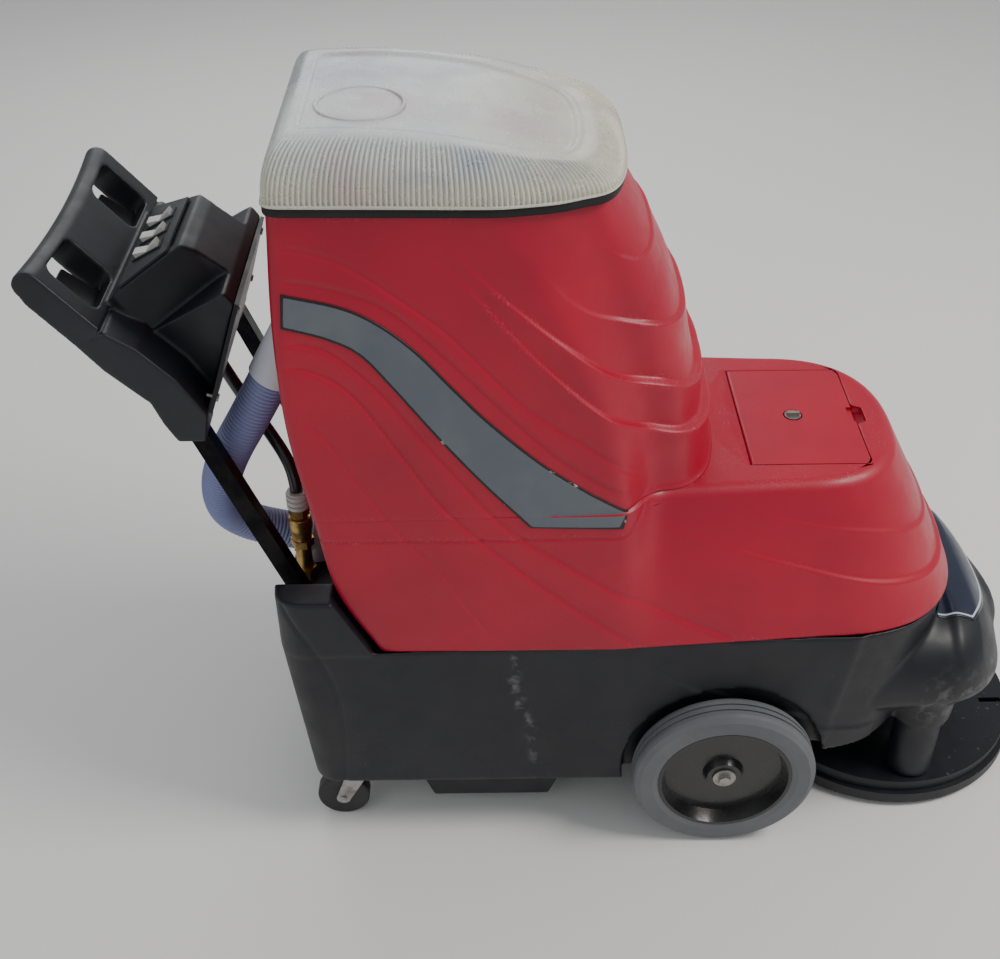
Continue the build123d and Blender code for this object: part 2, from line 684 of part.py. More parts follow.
with BuildPart() as motor_mount:
    with BuildSketch(Plane((MOTOR_X, 0, MOTOR_Z - SEAT))):
        Circle(MOTOR_R + 14)
        Circle(MOTOR_PULLEY_R + 6, mode=Mode.SUBTRACT)
    extrude(amount=-5)
    with BuildSketch(Plane((MOTOR_X, 0, MOTOR_Z - 5))):
        with Locations((-8, MOTOR_R + 6), (-8, -MOTOR_R - 6), (30, MOTOR_R), (30, -MOTOR_R)):
            Circle(6)
    extrude(amount=NOSE_FLOOR_Z + WALL + SEAT - MOTOR_Z + 5)
save(motor_mount, "motor_mount")

# ---------------------------------------------------------------- vacuum motor, fan and pump
FAN_Z = SEAM_Z - 56.0
with BuildPart() as vacuum_motor:
    with BuildSketch(Plane.XZ):
        Polygon(
            (VAC_SHAFT_R + RUN, FAN_Z - 90),
            (40, FAN_Z - 90),
            (40, BASE_Z + WALL + SEAT),
            (50, BASE_Z + WALL + SEAT),
            (50, FAN_Z - 8),
            (FAN_R + 10, FAN_Z - 8),
            (FAN_R + 10, FAN_Z + 32),
            (PIPE_R + 4, FAN_Z + 32),
            (PIPE_R + 4, FAN_Z + 27),
            (FAN_R + 5, FAN_Z + 27),
            (FAN_R + 5, FAN_Z - 3),
            (VAC_SHAFT_R + RUN, FAN_Z - 3),
            align=None,
        )
    revolve(axis=Axis.Z)
vacuum_motor.part = Pos(PIPE_X, 0, 0) * vacuum_motor.part
save(vacuum_motor, "vacuum_motor")

with BuildPart() as vacuum_fan:
    with BuildSketch(Plane((PIPE_X, 0, FAN_Z))):
        Circle(FAN_R)
    extrude(amount=3)
    with BuildSketch(Plane((PIPE_X, 0, FAN_Z + 3))):
        with PolarLocations(FAN_R / 2 + 8, 8):
            Rectangle(FAN_R - 26, 3, rotation=35)
    extrude(amount=16)
    with BuildSketch(Plane((PIPE_X, 0, FAN_Z - 80))):
        Circle(VAC_SHAFT_R)
    extrude(amount=82)
save(vacuum_fan, "vacuum_fan")

with BuildPart() as solution_pump:
    with Locations((-250, 90, BASE_Z + WALL + SEAT)):
        Box(90, 64, 60, align=(Align.CENTER, Align.CENTER, Align.MIN))
    fillet(solution_pump.edges().filter_by(Axis.Z), 8)
    with Locations((-295, 90, BASE_Z + 45), (-205, 90, BASE_Z + 45)):
        Cylinder(7, 40, rotation=(0, 90, 0))
save(solution_pump, "solution_pump")

# ---------------------------------------------------------------- hoses and their ends
with BuildPart() as vacuum_hose:
    with BuildLine():
        path = FilletPolyline(*VAC_ROUTE, radius=corner_radii(VAC_ROUTE))
    with BuildSketch(Plane(path @ 0, z_dir=path % 0)):
        Circle(VAC_HOSE_R)
    sweep()
save(vacuum_hose, "vacuum_hose")
print_route("vacuum hose", VAC_ROUTE, VAC_HOSE_R, vacuum_hose.part)

with BuildPart() as upper_hose_cuff:
    with BuildSketch(UPPER_CUFF):
        Circle(CUFF_R)
        Circle(VAC_PORT_R, mode=Mode.SUBTRACT)
    extrude(amount=UPPER_CUFF_L)
save(upper_hose_cuff, "upper_hose_cuff")

with BuildPart() as lower_hose_cuff:
    for radius, mode in ((CUFF_R, Mode.ADD), (VAC_PORT_R, Mode.SUBTRACT)):
        with BuildSketch(Plane((ELBOW.X, ELBOW.Y, TOWER_DECK_Z + SEAT))):
            Circle(radius)
        extrude(amount=ELBOW.Z - TOWER_DECK_Z - SEAT, mode=mode)
        with BuildSketch(LOWER_CUFF):
            Circle(radius)
        extrude(amount=(ELBOW - LOWER_CUFF.origin).length, mode=mode)
        with Locations(ELBOW):
            Sphere(radius, mode=mode)
    with BuildSketch(LOWER_CUFF.offset(SEAT)):
        Circle(2 * CUFF_R)
    extrude(amount=-2 * CUFF_R, mode=Mode.SUBTRACT)
save(lower_hose_cuff, "lower_hose_cuff")

with BuildPart() as solution_hose:
    with BuildLine():
        path = FilletPolyline(*SOLUTION_ROUTE, radius=corner_radii(SOLUTION_ROUTE))
    with BuildSketch(Plane(path @ 0, z_dir=path % 0)):
        Circle(SOLUTION_HOSE_R)
    sweep()
save(solution_hose, "solution_hose")
print_route("solution hose", SOLUTION_ROUTE, SOLUTION_HOSE_R, solution_hose.part)

# Quick coupling under the solution hose: nipple, coupler body, sliding sleeve and hose fitting
FITTING_H = 27.0
COUPLER_TOP_Z = SOLUTION_ROUTE[-1][2] - FITTING_H - 0.6
COUPLER_Z = COUPLER_TOP_Z - 52.0
SLEEVE_R = 15.5
SLEEVE_TRAVEL = 3.0
NIPPLE_R = 11.0
COUPLER_R = 10.5
COUPLER_BORE_R = 6.0


def at_coupler(height):
    return Plane((COUPLER_X, COUPLER_Y, height))


with BuildPart() as brass_nipple:
    with BuildSketch(at_coupler(TOWER_DECK_Z + SEAT)):
        Circle(NIPPLE_R)
    extrude(amount=COUPLER_Z - TOWER_DECK_Z - 2 * SEAT)
    for bottom, height in ((TOWER_DECK_Z + SEAT, 16), (COUPLER_Z - 12, 12 - SEAT)):
        with BuildSketch(at_coupler(bottom)):
            RegularPolygon(NIPPLE_R + 5, 6)
        extrude(amount=height)
    with BuildSketch(at_coupler(TOWER_DECK_Z)):
        Circle(COUPLER_BORE_R)
    extrude(amount=COUPLER_Z - TOWER_DECK_Z, mode=Mode.SUBTRACT)
save(brass_nipple, "brass_nipple")

with BuildPart() as brass_coupler:
    with BuildSketch(at_coupler(COUPLER_Z)):
        Circle(COUPLER_R + 3)
    extrude(amount=16)
    with BuildSketch(at_coupler(COUPLER_Z)):
        Circle(COUPLER_R)
    extrude(amount=COUPLER_TOP_Z - COUPLER_Z - SEAT)
    with BuildSketch(at_coupler(COUPLER_TOP_Z - SEAT)):
        RegularPolygon(14, 6)
    extrude(amount=-12)
    with BuildSketch(at_coupler(COUPLER_Z - 1)):
        Circle(COUPLER_BORE_R)
    extrude(amount=80, mode=Mode.SUBTRACT)
save(brass_coupler, "brass_coupler")

with BuildPart() as coupling_sleeve:
    with BuildSketch(at_coupler(COUPLER_Z + 16 + TOUCH)):
        Circle(SLEEVE_R)
        Circle(COUPLER_R + RUN, mode=Mode.SUBTRACT)
    extrude(amount=COUPLER_TOP_Z - COUPLER_Z - 28 - SLEEVE_TRAVEL - 1)
    chamfer(coupling_sleeve.edges().group_by(SortBy.LENGTH)[-1], 1.2)
save(coupling_sleeve, "coupling_sleeve")

with BuildPart() as hose_fitting:
    with BuildSketch(at_coupler(COUPLER_TOP_Z)):
        Circle(13)
    extrude(amount=FITTING_H)
    for rib in range(3):
        with BuildSketch(at_coupler(COUPLER_TOP_Z + 2 + 8 * rib)):
            Circle(15)
        extrude(amount=5)
    with BuildSketch(at_coupler(COUPLER_TOP_Z - 1)):
        Circle(COUPLER_BORE_R)
    extrude(amount=FITTING_H, mode=Mode.SUBTRACT)
save(hose_fitting, "hose_fitting")

with BuildPart() as cable_gland:
    with BuildSketch(Plane((BASE_REAR_X - 16, GLAND_Y, GLAND_Z), z_dir=(1, 0, 0))):
        RegularPolygon(15, 6)
    extrude(amount=19)
    with BuildSketch(Plane((BASE_REAR_X - 16, GLAND_Y, GLAND_Z), z_dir=(1, 0, 0))):
        Circle(GLAND_BORE_R + 4)
    extrude(amount=GLAND_L + 16)
    with BuildSketch(Plane((BASE_REAR_X - 17, GLAND_Y, GLAND_Z), z_dir=(1, 0, 0))):
        Circle(GLAND_BORE_R)
    extrude(amount=GLAND_L + 20, mode=Mode.SUBTRACT)
save(cable_gland, "cable_gland")

# ---------------------------------------------------------------- main axle and wheels
HUB_OUT = 12.0  # outer face of the hub's boss from the wheel's middle
with BuildPart() as main_axle:
    with Locations((AXLE_X, 0, WHEEL_R)):
        Cylinder(AXLE_R, 2 * (WHEEL_Y + HUB_OUT), rotation=(90, 0, 0))
save(main_axle, "main_axle")

with BuildPart() as axle_bolts:
    for side in (1, -1):
        face = WHEEL_Y + HUB_OUT + TOUCH
        with BuildSketch(Plane((AXLE_X, side * face, WHEEL_R), z_dir=(0, side, 0))):
            Circle(16)
        extrude(amount=2.5)
        with BuildSketch(Plane((AXLE_X, side * face, WHEEL_R), z_dir=(0, side, 0))):
            RegularPolygon(9, 6)
        extrude(amount=9)
save(axle_bolts, "axle_bolts")


def wheel_plane(side):
    """Section plane of a wheel: x runs along the radius, y runs outwards."""
    return Plane((AXLE_X, side * WHEEL_Y, WHEEL_R), (1, 0, 0), (0, 0, side))


def make_hub(side):
    with BuildPart() as hub:
        with BuildSketch(wheel_plane(side)):
            Polygon(
                (AXLE_R + RUN, -18),
                (HUB_R, -18),
                (HUB_R, -7),
                (RIM_R - 9, -7),
                (RIM_R - 5, -20),
                (RIM_R, -20),
                (RIM_R, 20),
                (RIM_R - 5, 20),
                (RIM_R - 12, 2),
                (HUB_R + 5, 2),
                (HUB_R, HUB_OUT),
                (AXLE_R + RUN, HUB_OUT),
                align=None,
            )
        revolve(axis=Axis((AXLE_X, 0, WHEEL_R), (0, 1, 0)))
    return hub


def make_tyre(side):
    half = WHEEL_W / 2
    with BuildPart() as tyre:
        with BuildSketch(wheel_plane(side)):
            Polygon(
                (RIM_R + SEAT, -half + 3),
                (RIM_R + 8, -half),
                (WHEEL_R - 9, -half),
                (WHEEL_R - 2, -half + 5),
                (WHEEL_R, -half + 10),
                (WHEEL_R, half - 10),
                (WHEEL_R - 2, half - 5),
                (WHEEL_R - 9, half),
                (RIM_R + 8, half),
                (RIM_R + SEAT, half - 3),
                align=None,
            )
            with Locations((WHEEL_R, -5), (WHEEL_R, 5)):
                Rectangle(5, 3, mode=Mode.SUBTRACT)
        revolve(axis=Axis((AXLE_X, 0, WHEEL_R), (0, 1, 0)))
    return tyre


for side, hand in ((1, "left"), (-1, "right")):
    save(make_hub(side), f"{hand}_hub")
    save(make_tyre(side), f"{hand}_tyre")

# ---------------------------------------------------------------- casters
with BuildPart() as caster_mounts:
    for side in (1, -1):
        top = Plane((CASTER_X, side * CASTER_Y, BASE_Z - SEAT))
        with BuildSketch(top):
            RectangleRounded(76, 60, 8)
        extrude(amount=-3)
        with BuildSketch(top):
            Circle(20)
        extrude(amount=FORK_TOP_Z + TOUCH - BASE_Z + SEAT)
        with BuildSketch(top):
            Circle(CASTER_PIN_R)
        extrude(amount=FORK_TOP_Z - 8 - BASE_Z + SEAT)
save(caster_mounts, "caster_mounts")


def make_fork(side):
    y = side * CASTER_Y
    leg = CASTER_W / 2 + 1.5
    with BuildPart() as fork:
        with BuildSketch(Plane((CASTER_X, y, FORK_TOP_Z))):
            Circle(leg + FORK_T + 5)
        extrude(amount=-6)
        for out in (1, -1):
            with BuildSketch(Plane.XZ.offset(-y - out * leg)):
                with Locations((CASTER_X - CASTER_TRAIL, CASTER_R)):
                    Circle(10)
                with Locations((CASTER_X - 2, FORK_TOP_Z - 4)):
                    Rectangle(28, 8)
                make_hull()
            extrude(amount=-out * FORK_T)
        with Locations((CASTER_X - CASTER_TRAIL, y, CASTER_R)):
            Cylinder(CASTER_AXLE_R, 2 * (leg + FORK_T + 2), rotation=(90, 0, 0))
        with Locations((CASTER_X, y, FORK_TOP_Z)):
            Cylinder(CASTER_PIN_R + RUN, 30, mode=Mode.SUBTRACT)
    return fork


def make_caster_wheel(side):
    centre = (CASTER_X - CASTER_TRAIL, side * CASTER_Y, CASTER_R)
    with BuildPart() as wheel:
        with Locations(centre):
            Cylinder(CASTER_R, CASTER_W, rotation=(90, 0, 0))
        fillet(wheel.edges(), 4)
        with Locations(centre):
            Cylinder(CASTER_AXLE_R + RUN, CASTER_W + 2, rotation=(90, 0, 0), mode=Mode.SUBTRACT)
    return wheel


for side, hand in ((1, "left"), (-1, "right")):
    save(make_fork(side), f"{hand}_caster_fork")
    save(make_caster_wheel(side), f"{hand}_caster_wheel")

# ---------------------------------------------------------------- handle tubes
with BuildPart() as handle_tubes:
    for side in (1, -1):
        with BuildSketch(tube_plane(side)):
            Rectangle(TUBE_W, TUBE_W)
            Rectangle(TUBE_W - 2 * TUBE_WALL, TUBE_W - 2 * TUBE_WALL, mode=Mode.SUBTRACT)
        extrude(amount=(TUBE_HEAD - TUBE_FOOT).length)
save(handle_tubes, "handle_tubes")

# ---------------------------------------------------------------- handle shell
# The grip frame lies in a sloped plane: x runs down the slope, z points up out of its face. The
# control box has its own panel plane, and its cover closes it on the tanks' side.
SLOPE = radians(HANDLE_SLOPE)
LEFTWARD = Vector(0, 1, 0)
FRAME = Plane((-640, 0, 876), (cos(SLOPE), 0, -sin(SLOPE)), (sin(SLOPE), 0, cos(SLOPE)))
FRAME_SIDE = Plane(FRAME.origin, FRAME.x_dir, -LEFTWARD)
PANEL_LOW = Vector(-576, 0, 820)
PANEL_DIR = Vector(66, 0, 36).normalized()
PANEL = Plane(PANEL_LOW, PANEL_DIR, PANEL_DIR.cross(LEFTWARD))
PANEL_SIDE = Plane(PANEL_LOW, PANEL_DIR, -LEFTWARD)
COVER_LOW = Vector(-476, 0, 688)
COVER_TOP = Vector(-438, 0, 806)
COVER = Plane(COVER_LOW, LEFTWARD, LEFTWARD.cross(COVER_TOP - COVER_LOW))
COVER_L = (COVER_TOP - COVER_LOW).length
BODY_HW = BOX_LOW_HW + 4.0
HOLLOW_HW = BOX_TOP_HW - 10.0
FRAME_L = 90.0
TRIGGER_PIVOT = (84.0, -29.0)  # in the frame's side plane
TRIGGER_TIP = (34.0, -37.0)
TRIGGER_IN = WINDOW_IN + 8.0
TRIGGER_OUT = WINDOW_OUT - 8.0
SWITCH_SPOT = 34.0  # middle of the switches, up the panel
SWITCHES = {"left": SWITCH_PITCH, "middle": 0.0, "right": -SWITCH_PITCH}
SCREW_SPOTS = [(150, 12), (-150, 12), (104, COVER_L - 14), (-104, COVER_L - 14)]
SCREW_R = 2.5
HOSE_BOSS = Plane(SOLUTION_ROUTE[0], z_dir=Vector(*SOLUTION_ROUTE[0]) - Vector(*SOLUTION_ROUTE[1]))

FRONT_CORNER = (COVER_LOW.X, COVER_LOW.Z)
REAR_EDGE = [(-611, 782), (-588, 752), (-541, 706)]
RAIL_OUTLINE = REAR_EDGE + [(-530, 676), (-516, 650), (-483, 650), FRONT_CORNER]
RAIL_OUTLINE += [(-505, 737), (-545, 780), (-579, 803)]
BOX_OUTLINE = REAR_EDGE + [(-533, 684), FRONT_CORNER, (COVER_TOP.X, COVER_TOP.Z)]
BOX_OUTLINE += [(-446, 818), (-488, 852), (-502, 860), (PANEL_LOW.X, PANEL_LOW.Z), (-592, 805)]


def extrude_outwards(side, near, far, mode=Mode.ADD):
    """Extrudes the pending sketch, drawn at the near distance, away from the middle of the handle."""
    extrude(amount=-side * (far - near), mode=mode)


with BuildPart() as handle_shell:
    # Grip bar and the frame behind it
    with BuildSketch(FRAME_SIDE):
        with Locations((1, -GRIP_R - 1)):
            Circle(GRIP_R)
        Polygon(
            (1, -1),
            (FRAME_L, 0),
            (FRAME_L, -HANDLE_T),
            (14, -HANDLE_T),
            (1, -2 * GRIP_R),
            align=None,
        )
    extrude(amount=GRIP_HW, both=True)
    # Control box, narrower towards the top of its panel
    with BuildSketch(Plane.XZ):
        Polygon(*BOX_OUTLINE, align=None)
    extrude(amount=BODY_HW, both=True)
    with BuildSketch(PANEL):
        for side in (1, -1):
            Polygon(
                (0, side * BODY_HW),
                (PANEL_L + 20, side * (BOX_TOP_HW - 6)),
                (PANEL_L + 40, side * (BOX_TOP_HW - 6)),
                (PANEL_L + 40, side * (BODY_HW + 5)),
                (0, side * (BODY_HW + 5)),
                align=None,
            )
    extrude(amount=60, both=True, mode=Mode.SUBTRACT)
    # Side rails down to the tubes
    for side in (1, -1):
        with BuildSketch(Plane.XZ.offset(-side * (BODY_HW - 2))):
            Polygon(*RAIL_OUTLINE, align=None)
        extrude_outwards(side, BODY_HW - 2, GRIP_HW)
    # Boss where the solution hose comes out
    with BuildSketch(HOSE_BOSS.offset(SEAT)):
        Circle(SOLUTION_HOSE_R + 3)
    extrude(amount=22)
    # Hollow of the box, open towards the cover
    with BuildSketch(Plane.XZ):
        Polygon(*BOX_OUTLINE, align=None)
        offset(amount=-SHELL_T)
    extrude(amount=HOLLOW_HW, both=True, mode=Mode.SUBTRACT)
    with BuildSketch(COVER):
        with Locations((0, COVER_L / 2)):
            Rectangle(2 * HOLLOW_HW, COVER_L - 16)
    extrude(amount=-2 * SHELL_T, mode=Mode.SUBTRACT)
    # Hand windows, trigger pockets and the trigger pin's hole
    with BuildSketch(FRAME):
        for side in (1, -1):
            with Locations((2 + WINDOW_L / 2, side * (WINDOW_IN + WINDOW_OUT) / 2)):
                RectangleRounded(WINDOW_L, WINDOW_OUT - WINDOW_IN, 14)
    extrude(amount=HANDLE_T + 20, both=True, mode=Mode.SUBTRACT)
    for side in (1, -1):
        with BuildSketch(FRAME_SIDE.offset(-side * (TRIGGER_IN - 3))):
            with Locations((TRIGGER_PIVOT[0] + 1, TRIGGER_PIVOT[1] - 7)):
                Rectangle(20, 30)
        extrude_outwards(side, TRIGGER_IN - 3, TRIGGER_OUT + 3, Mode.SUBTRACT)
    with BuildSketch(FRAME_SIDE):
        with Locations(TRIGGER_PIVOT):
            Circle(TRIGGER_PIN_R + SEAT)
    extrude(amount=WINDOW_OUT + 10, both=True, mode=Mode.SUBTRACT)
    # Sockets of the tubes, switch openings and screw holes
    for side in (1, -1):
        with BuildSketch(tube_plane(side)):
            Rectangle(TUBE_W + 2 * SEAT, TUBE_W + 2 * SEAT)
        extrude(amount=(TUBE_HEAD - TUBE_FOOT).length + 1, mode=Mode.SUBTRACT)
    with BuildSketch(PANEL):
        for y in SWITCHES.values():
            with Locations((SWITCH_SPOT, y)):
                Rectangle(SWITCH_L + 1, SWITCH_W + 1)
    extrude(amount=-2 * SHELL_T, mode=Mode.SUBTRACT)
    with BuildSketch(COVER):
        with Locations(*SCREW_SPOTS):
            Circle(SCREW_R + SEAT)
    extrude(amount=-8, mode=Mode.SUBTRACT)
save(handle_shell, "handle_shell")

COVER_PLATE_T = 5.0
SCREW_DEPTH = 7.0
with BuildPart() as handle_cover:
    with BuildSketch(COVER.offset(SEAT)):
        Polygon(
            (-GRIP_HW + 8, 0),
            (GRIP_HW - 8, 0),
            (BODY_HW - 2, COVER_L),
            (2 - BODY_HW, COVER_L),
            align=None,
        )
        with Locations(*SCREW_SPOTS):
            Circle(SCREW_R + SEAT, mode=Mode.SUBTRACT)
    extrude(amount=COVER_PLATE_T)
save(handle_cover, "handle_cover")

with BuildPart() as cover_screws:
    with BuildSketch(COVER.offset(-SCREW_DEPTH)):
        with Locations(*SCREW_SPOTS):
            Circle(SCREW_R)
    extrude(amount=SCREW_DEPTH + COVER_PLATE_T + 2 * SEAT)
    with BuildSketch(COVER.offset(COVER_PLATE_T + 2 * SEAT)):
        with Locations(*SCREW_SPOTS):
            Circle(2 * SCREW_R)
    extrude(amount=2.5)
save(cover_screws, "cover_screws")

# ---------------------------------------------------------------- switch panel and rockers
with BuildPart() as switch_panel:
    with BuildSketch(PANEL.offset(SEAT)):
        Polygon(
            (6, BODY_HW - 12),
            (6, 12 - BODY_HW),
            (PANEL_L - 6, -BOX_TOP_HW),
            (PANEL_L - 6, BOX_TOP_HW),
            align=None,
        )
    extrude(amount=PANEL_T)
    for y in SWITCHES.values():
        with BuildSketch(PANEL.offset(SEAT)):
            with Locations((SWITCH_SPOT, y)):
                Rectangle(SWITCH_L + 7, SWITCH_W + 7)
        extrude(amount=PANEL_T + 2)
        with BuildSketch(PANEL):
            with Locations((SWITCH_SPOT, y)):
                Rectangle(SWITCH_L + 1, SWITCH_W + 1)
        extrude(amount=PANEL_T + 4, mode=Mode.SUBTRACT)
save(switch_panel, "switch_panel")

for hand, y in SWITCHES.items():
    half = SWITCH_L / 2 - 1
    with BuildPart() as rocker:
        with BuildSketch(PANEL_SIDE.offset(-y)):
            Polygon(
                (SWITCH_SPOT - half, -6),
                (SWITCH_SPOT - half, 11),
                (SWITCH_SPOT, 6),
                (SWITCH_SPOT + half, 11),
                (SWITCH_SPOT + half, -6),
                (SWITCH_SPOT, -9),
                align=None,
            )
        extrude(amount=SWITCH_W / 2, both=True)
    save(rocker, f"{hand}_rocker")

# ---------------------------------------------------------------- triggers under the grip
for side, hand in ((1, "left"), (-1, "right")):
    with BuildPart() as trigger:
        with BuildSketch(FRAME_SIDE.offset(-side * TRIGGER_IN)):
            with Locations(TRIGGER_PIVOT):
                Circle(TRIGGER_T - 1.5)
            with Locations(TRIGGER_TIP):
                Circle(TRIGGER_T / 2)
            make_hull()
            with Locations(TRIGGER_PIVOT):
                Circle(TRIGGER_PIN_R + RUN, mode=Mode.SUBTRACT)
        extrude_outwards(side, TRIGGER_IN, TRIGGER_OUT)
    save(trigger, f"{hand}_trigger")

with BuildPart() as trigger_pin:
    with BuildSketch(FRAME_SIDE):
        with Locations(TRIGGER_PIVOT):
            Circle(TRIGGER_PIN_R)
    extrude(amount=WINDOW_OUT + 8, both=True)
save(trigger_pin, "trigger_pin")
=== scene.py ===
"""Looks of the floor scrubber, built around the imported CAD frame.

The tanks and the clear dome are stacks of plan outlines with sculpted ledges, creases and ribs. The base
and the handle are softened skins of their CAD solids. Lengths are millimetres in the CAD frame, except
in the materials, the hoses, the camera, the floor and the lights, where they are metres.
"""

import math

import bmesh
import bpy
import numpy as np
from mathutils import Matrix, Vector
from mathutils.bvhtree import BVHTree


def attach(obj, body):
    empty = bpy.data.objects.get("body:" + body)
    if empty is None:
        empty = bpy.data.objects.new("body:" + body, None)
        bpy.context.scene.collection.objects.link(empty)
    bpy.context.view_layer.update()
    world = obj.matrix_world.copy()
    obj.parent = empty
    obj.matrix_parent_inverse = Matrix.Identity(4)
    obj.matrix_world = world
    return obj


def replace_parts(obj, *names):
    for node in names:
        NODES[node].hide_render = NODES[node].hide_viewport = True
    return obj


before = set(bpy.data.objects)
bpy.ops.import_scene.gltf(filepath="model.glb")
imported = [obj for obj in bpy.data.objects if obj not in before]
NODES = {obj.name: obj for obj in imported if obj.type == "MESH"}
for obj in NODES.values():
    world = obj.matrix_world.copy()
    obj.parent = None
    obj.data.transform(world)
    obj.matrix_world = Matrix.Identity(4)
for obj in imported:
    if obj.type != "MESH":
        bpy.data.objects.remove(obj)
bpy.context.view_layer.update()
MM = 0.001

# ------------------------------------------------------------------ outlines shared with the CAD
SEAM_Z, DECK_Z, RIM_Z, GASKET_T = 350.0, 560.0, 945.0, 10.0
WALL = 5.0
# z, rear x, rear half width, side corners (x, half width) from the front, front x
SOLUTION_LEVELS = [
    (SEAM_Z, -291, 231, ((300, 213), (72, 228), (30, 232)), 508),
    (433, -334, 228, ((281, 192), (71, 207), (30, 226)), 467),
    (DECK_Z, -360, 222, ((250, 156), (70, 166), (30, 214)), 400),
]
RECOVERY_LEVELS = [
    (DECK_Z, -360, 222, ((80, 165), (66, 167), (30, 214)), 160),
    (672, -379, 214, ((62, 161), (46, 166), (6, 205)), 136),
    (800, -385, 203, ((18, 156), (5, 163), (-45, 195)), 98),
    (RIM_Z, -381, 176, ((-28, 156), (-61, 173), (-126, 184)), 18),
]
HALF = 300  # outline points from the front's middle to the rear's
# Ledges of the mouldings, as (share of the way from front to rear, z)
COLUMN_LEDGES = [
    ([(0, 866), (0.10, 866), (0.15, 867), (0.20, 874), (0.24, 897), (0.26, 930)], 7, 30),
    ([(0, 772), (0.12, 777), (0.19, 790), (0.24, 801), (0.32, 845), (0.36, 895)], 9, 45),
    ([(0, 686), (0.11, 691), (0.20, 714), (0.26, 731), (0.35, 795), (0.43, 866), (0.50, 932)], 12, 55),
    ([(0, 632), (0.15, 641), (0.23, 657), (0.33, 713), (0.38, 765), (0.46, 862), (0.52, 915)], 11, 50),
]
TANK_LEDGES = [
    ([(0, 396), (0.11, 400), (0.20, 424), (0.29, 460), (0.35, 489), (0.40, 522), (0.42, 540)], 5, 45),
    ([(0, 455), (0.09, 460), (0.18, 494), (0.26, 515), (0.33, 541)], 3, 30),
]
# Creases of the side walls, as (x, z), with their depth and the height of the step above them
CREASES = [
    ([(-376, 912), (-309, 896), (-234, 848), (-193, 815), (-92, 706), (-33, 662), (50, 596)], 1.6, -1.0),
    ([(-378, 876), (-304, 862), (-260, 845), (-174, 765), (-129, 715), (-71, 655), (40, 572)], 1.8, 1.5),
    ([(-376, 801), (-324, 790), (-283, 755), (-201, 645), (-123, 545), (-43, 483), (103, 388), (187, 350)],
     1.8, -1.8),
    ([(-381, 771), (-342, 765), (-304, 740), (-245, 650), (-202, 580), (-155, 527), (-53, 432), (52, 350)],
     1.8, -2.0),
    ([(-366, 706), (-337, 683), (-305, 625), (-251, 537), (-202, 475), (-164, 410), (-122, 350)], 1.2, -1.0),
]
TANK_SEAM = [(0.415, 562), (0.43, 545), (0.455, 529), (0.50, 527), (0.80, 529), (1.0, 529)]


# ------------------------------------------------------------------ curves and outlines
def smooth_through(points, x):
    """Values at x of the smooth curve through the points, held level past its ends."""
    table = np.array(points, float)
    xs, ys = table[:, 0], table[:, 1:]
    slopes = np.gradient(ys, xs, axis=0)
    x = np.clip(np.asarray(x, float), xs[0], xs[-1])
    i = np.clip(np.searchsorted(xs, x) - 1, 0, len(xs) - 2)
    h = (xs[i + 1] - xs[i])[..., None]
    t = (x - xs[i])[..., None] / h
    value = (1 + 2 * t) * (1 - t) ** 2 * ys[i] + t * (1 - t) ** 2 * h * slopes[i]
    value += t * t * (3 - 2 * t) * ys[i + 1] + t * t * (t - 1) * h * slopes[i + 1]
    return value[..., 0] if ys.shape[1] == 1 else value


def ease(x):
    x = np.clip(x, 0, 1)
    return x * x * (3 - 2 * x)


def gauss(x, width):
    return np.exp(-0.5 * (x / width) ** 2)


def level_at(levels, z):
    flat = [(lv[0], lv[1], lv[2], *[v for corner in lv[3] for v in corner], lv[4]) for lv in levels]
    return smooth_through(flat, z)


def outline(values, soften=11.0, power=2.5, half=HALF):
    """Closed plan outline with evenly spaced points and softened corners. It starts at the front."""
    rear_x, rear_hw, *side, front_x = values
    side = np.array(side).reshape(-1, 2)
    turn = np.radians(np.linspace(0, 90, 25))
    along, across = np.cos(turn) ** (2 / power), np.sin(turn) ** (2 / power)
    front = np.stack([side[0, 0] + (front_x - side[0, 0]) * along, side[0, 1] * across], 1)
    corners = np.concatenate([front, side[1:], [[rear_x, rear_hw], [rear_x, 0]]])
    way = np.concatenate([[0], np.cumsum(np.hypot(*np.diff(corners, axis=0).T))])
    spots = np.linspace(0, way[-1], half + 1)
    left = np.stack([np.interp(spots, way, corners[:, k]) for k in (0, 1)], 1)
    ring = np.concatenate([left, left[-2:0:-1] * [1, -1]])
    wave = np.fft.fftfreq(len(ring)) * 2 * math.pi * half / way[-1]
    blur = np.exp(-0.5 * (wave * soften) ** 2)[:, None]
    return np.real(np.fft.ifft(np.fft.fft(ring, axis=0) * blur, axis=0))


def outward(ring):
    step = np.roll(ring, -1, 0) - np.roll(ring, 1, 0)
    step /= np.linalg.norm(step, axis=1)[:, None]
    return np.stack([step[:, 1], -step[:, 0]], 1)


SHARE = np.minimum(np.arange(2 * HALF), 2 * HALF - np.arange(2 * HALF)) / HALF


# Rounding of a ledge's lip, depth of the hollow over it, and how far the rest of the wall is drawn in,
# the last two as shares of the ledge's depth
LIP_ROUND, LIP_HOLLOW, LEDGE_REST = 6.0, 0.22, 0.35
# Groove's half width, fade of the step above it, and half width from which a wall counts as a side
CREASE_WIDTH, CREASE_FADE, SIDE_HW = 2.6, 26.0, 150.0
SEAM_DEPTH, SEAM_WIDTH, SEAM_START = 1.6, 1.3, 0.41  # the last as a share of the way round


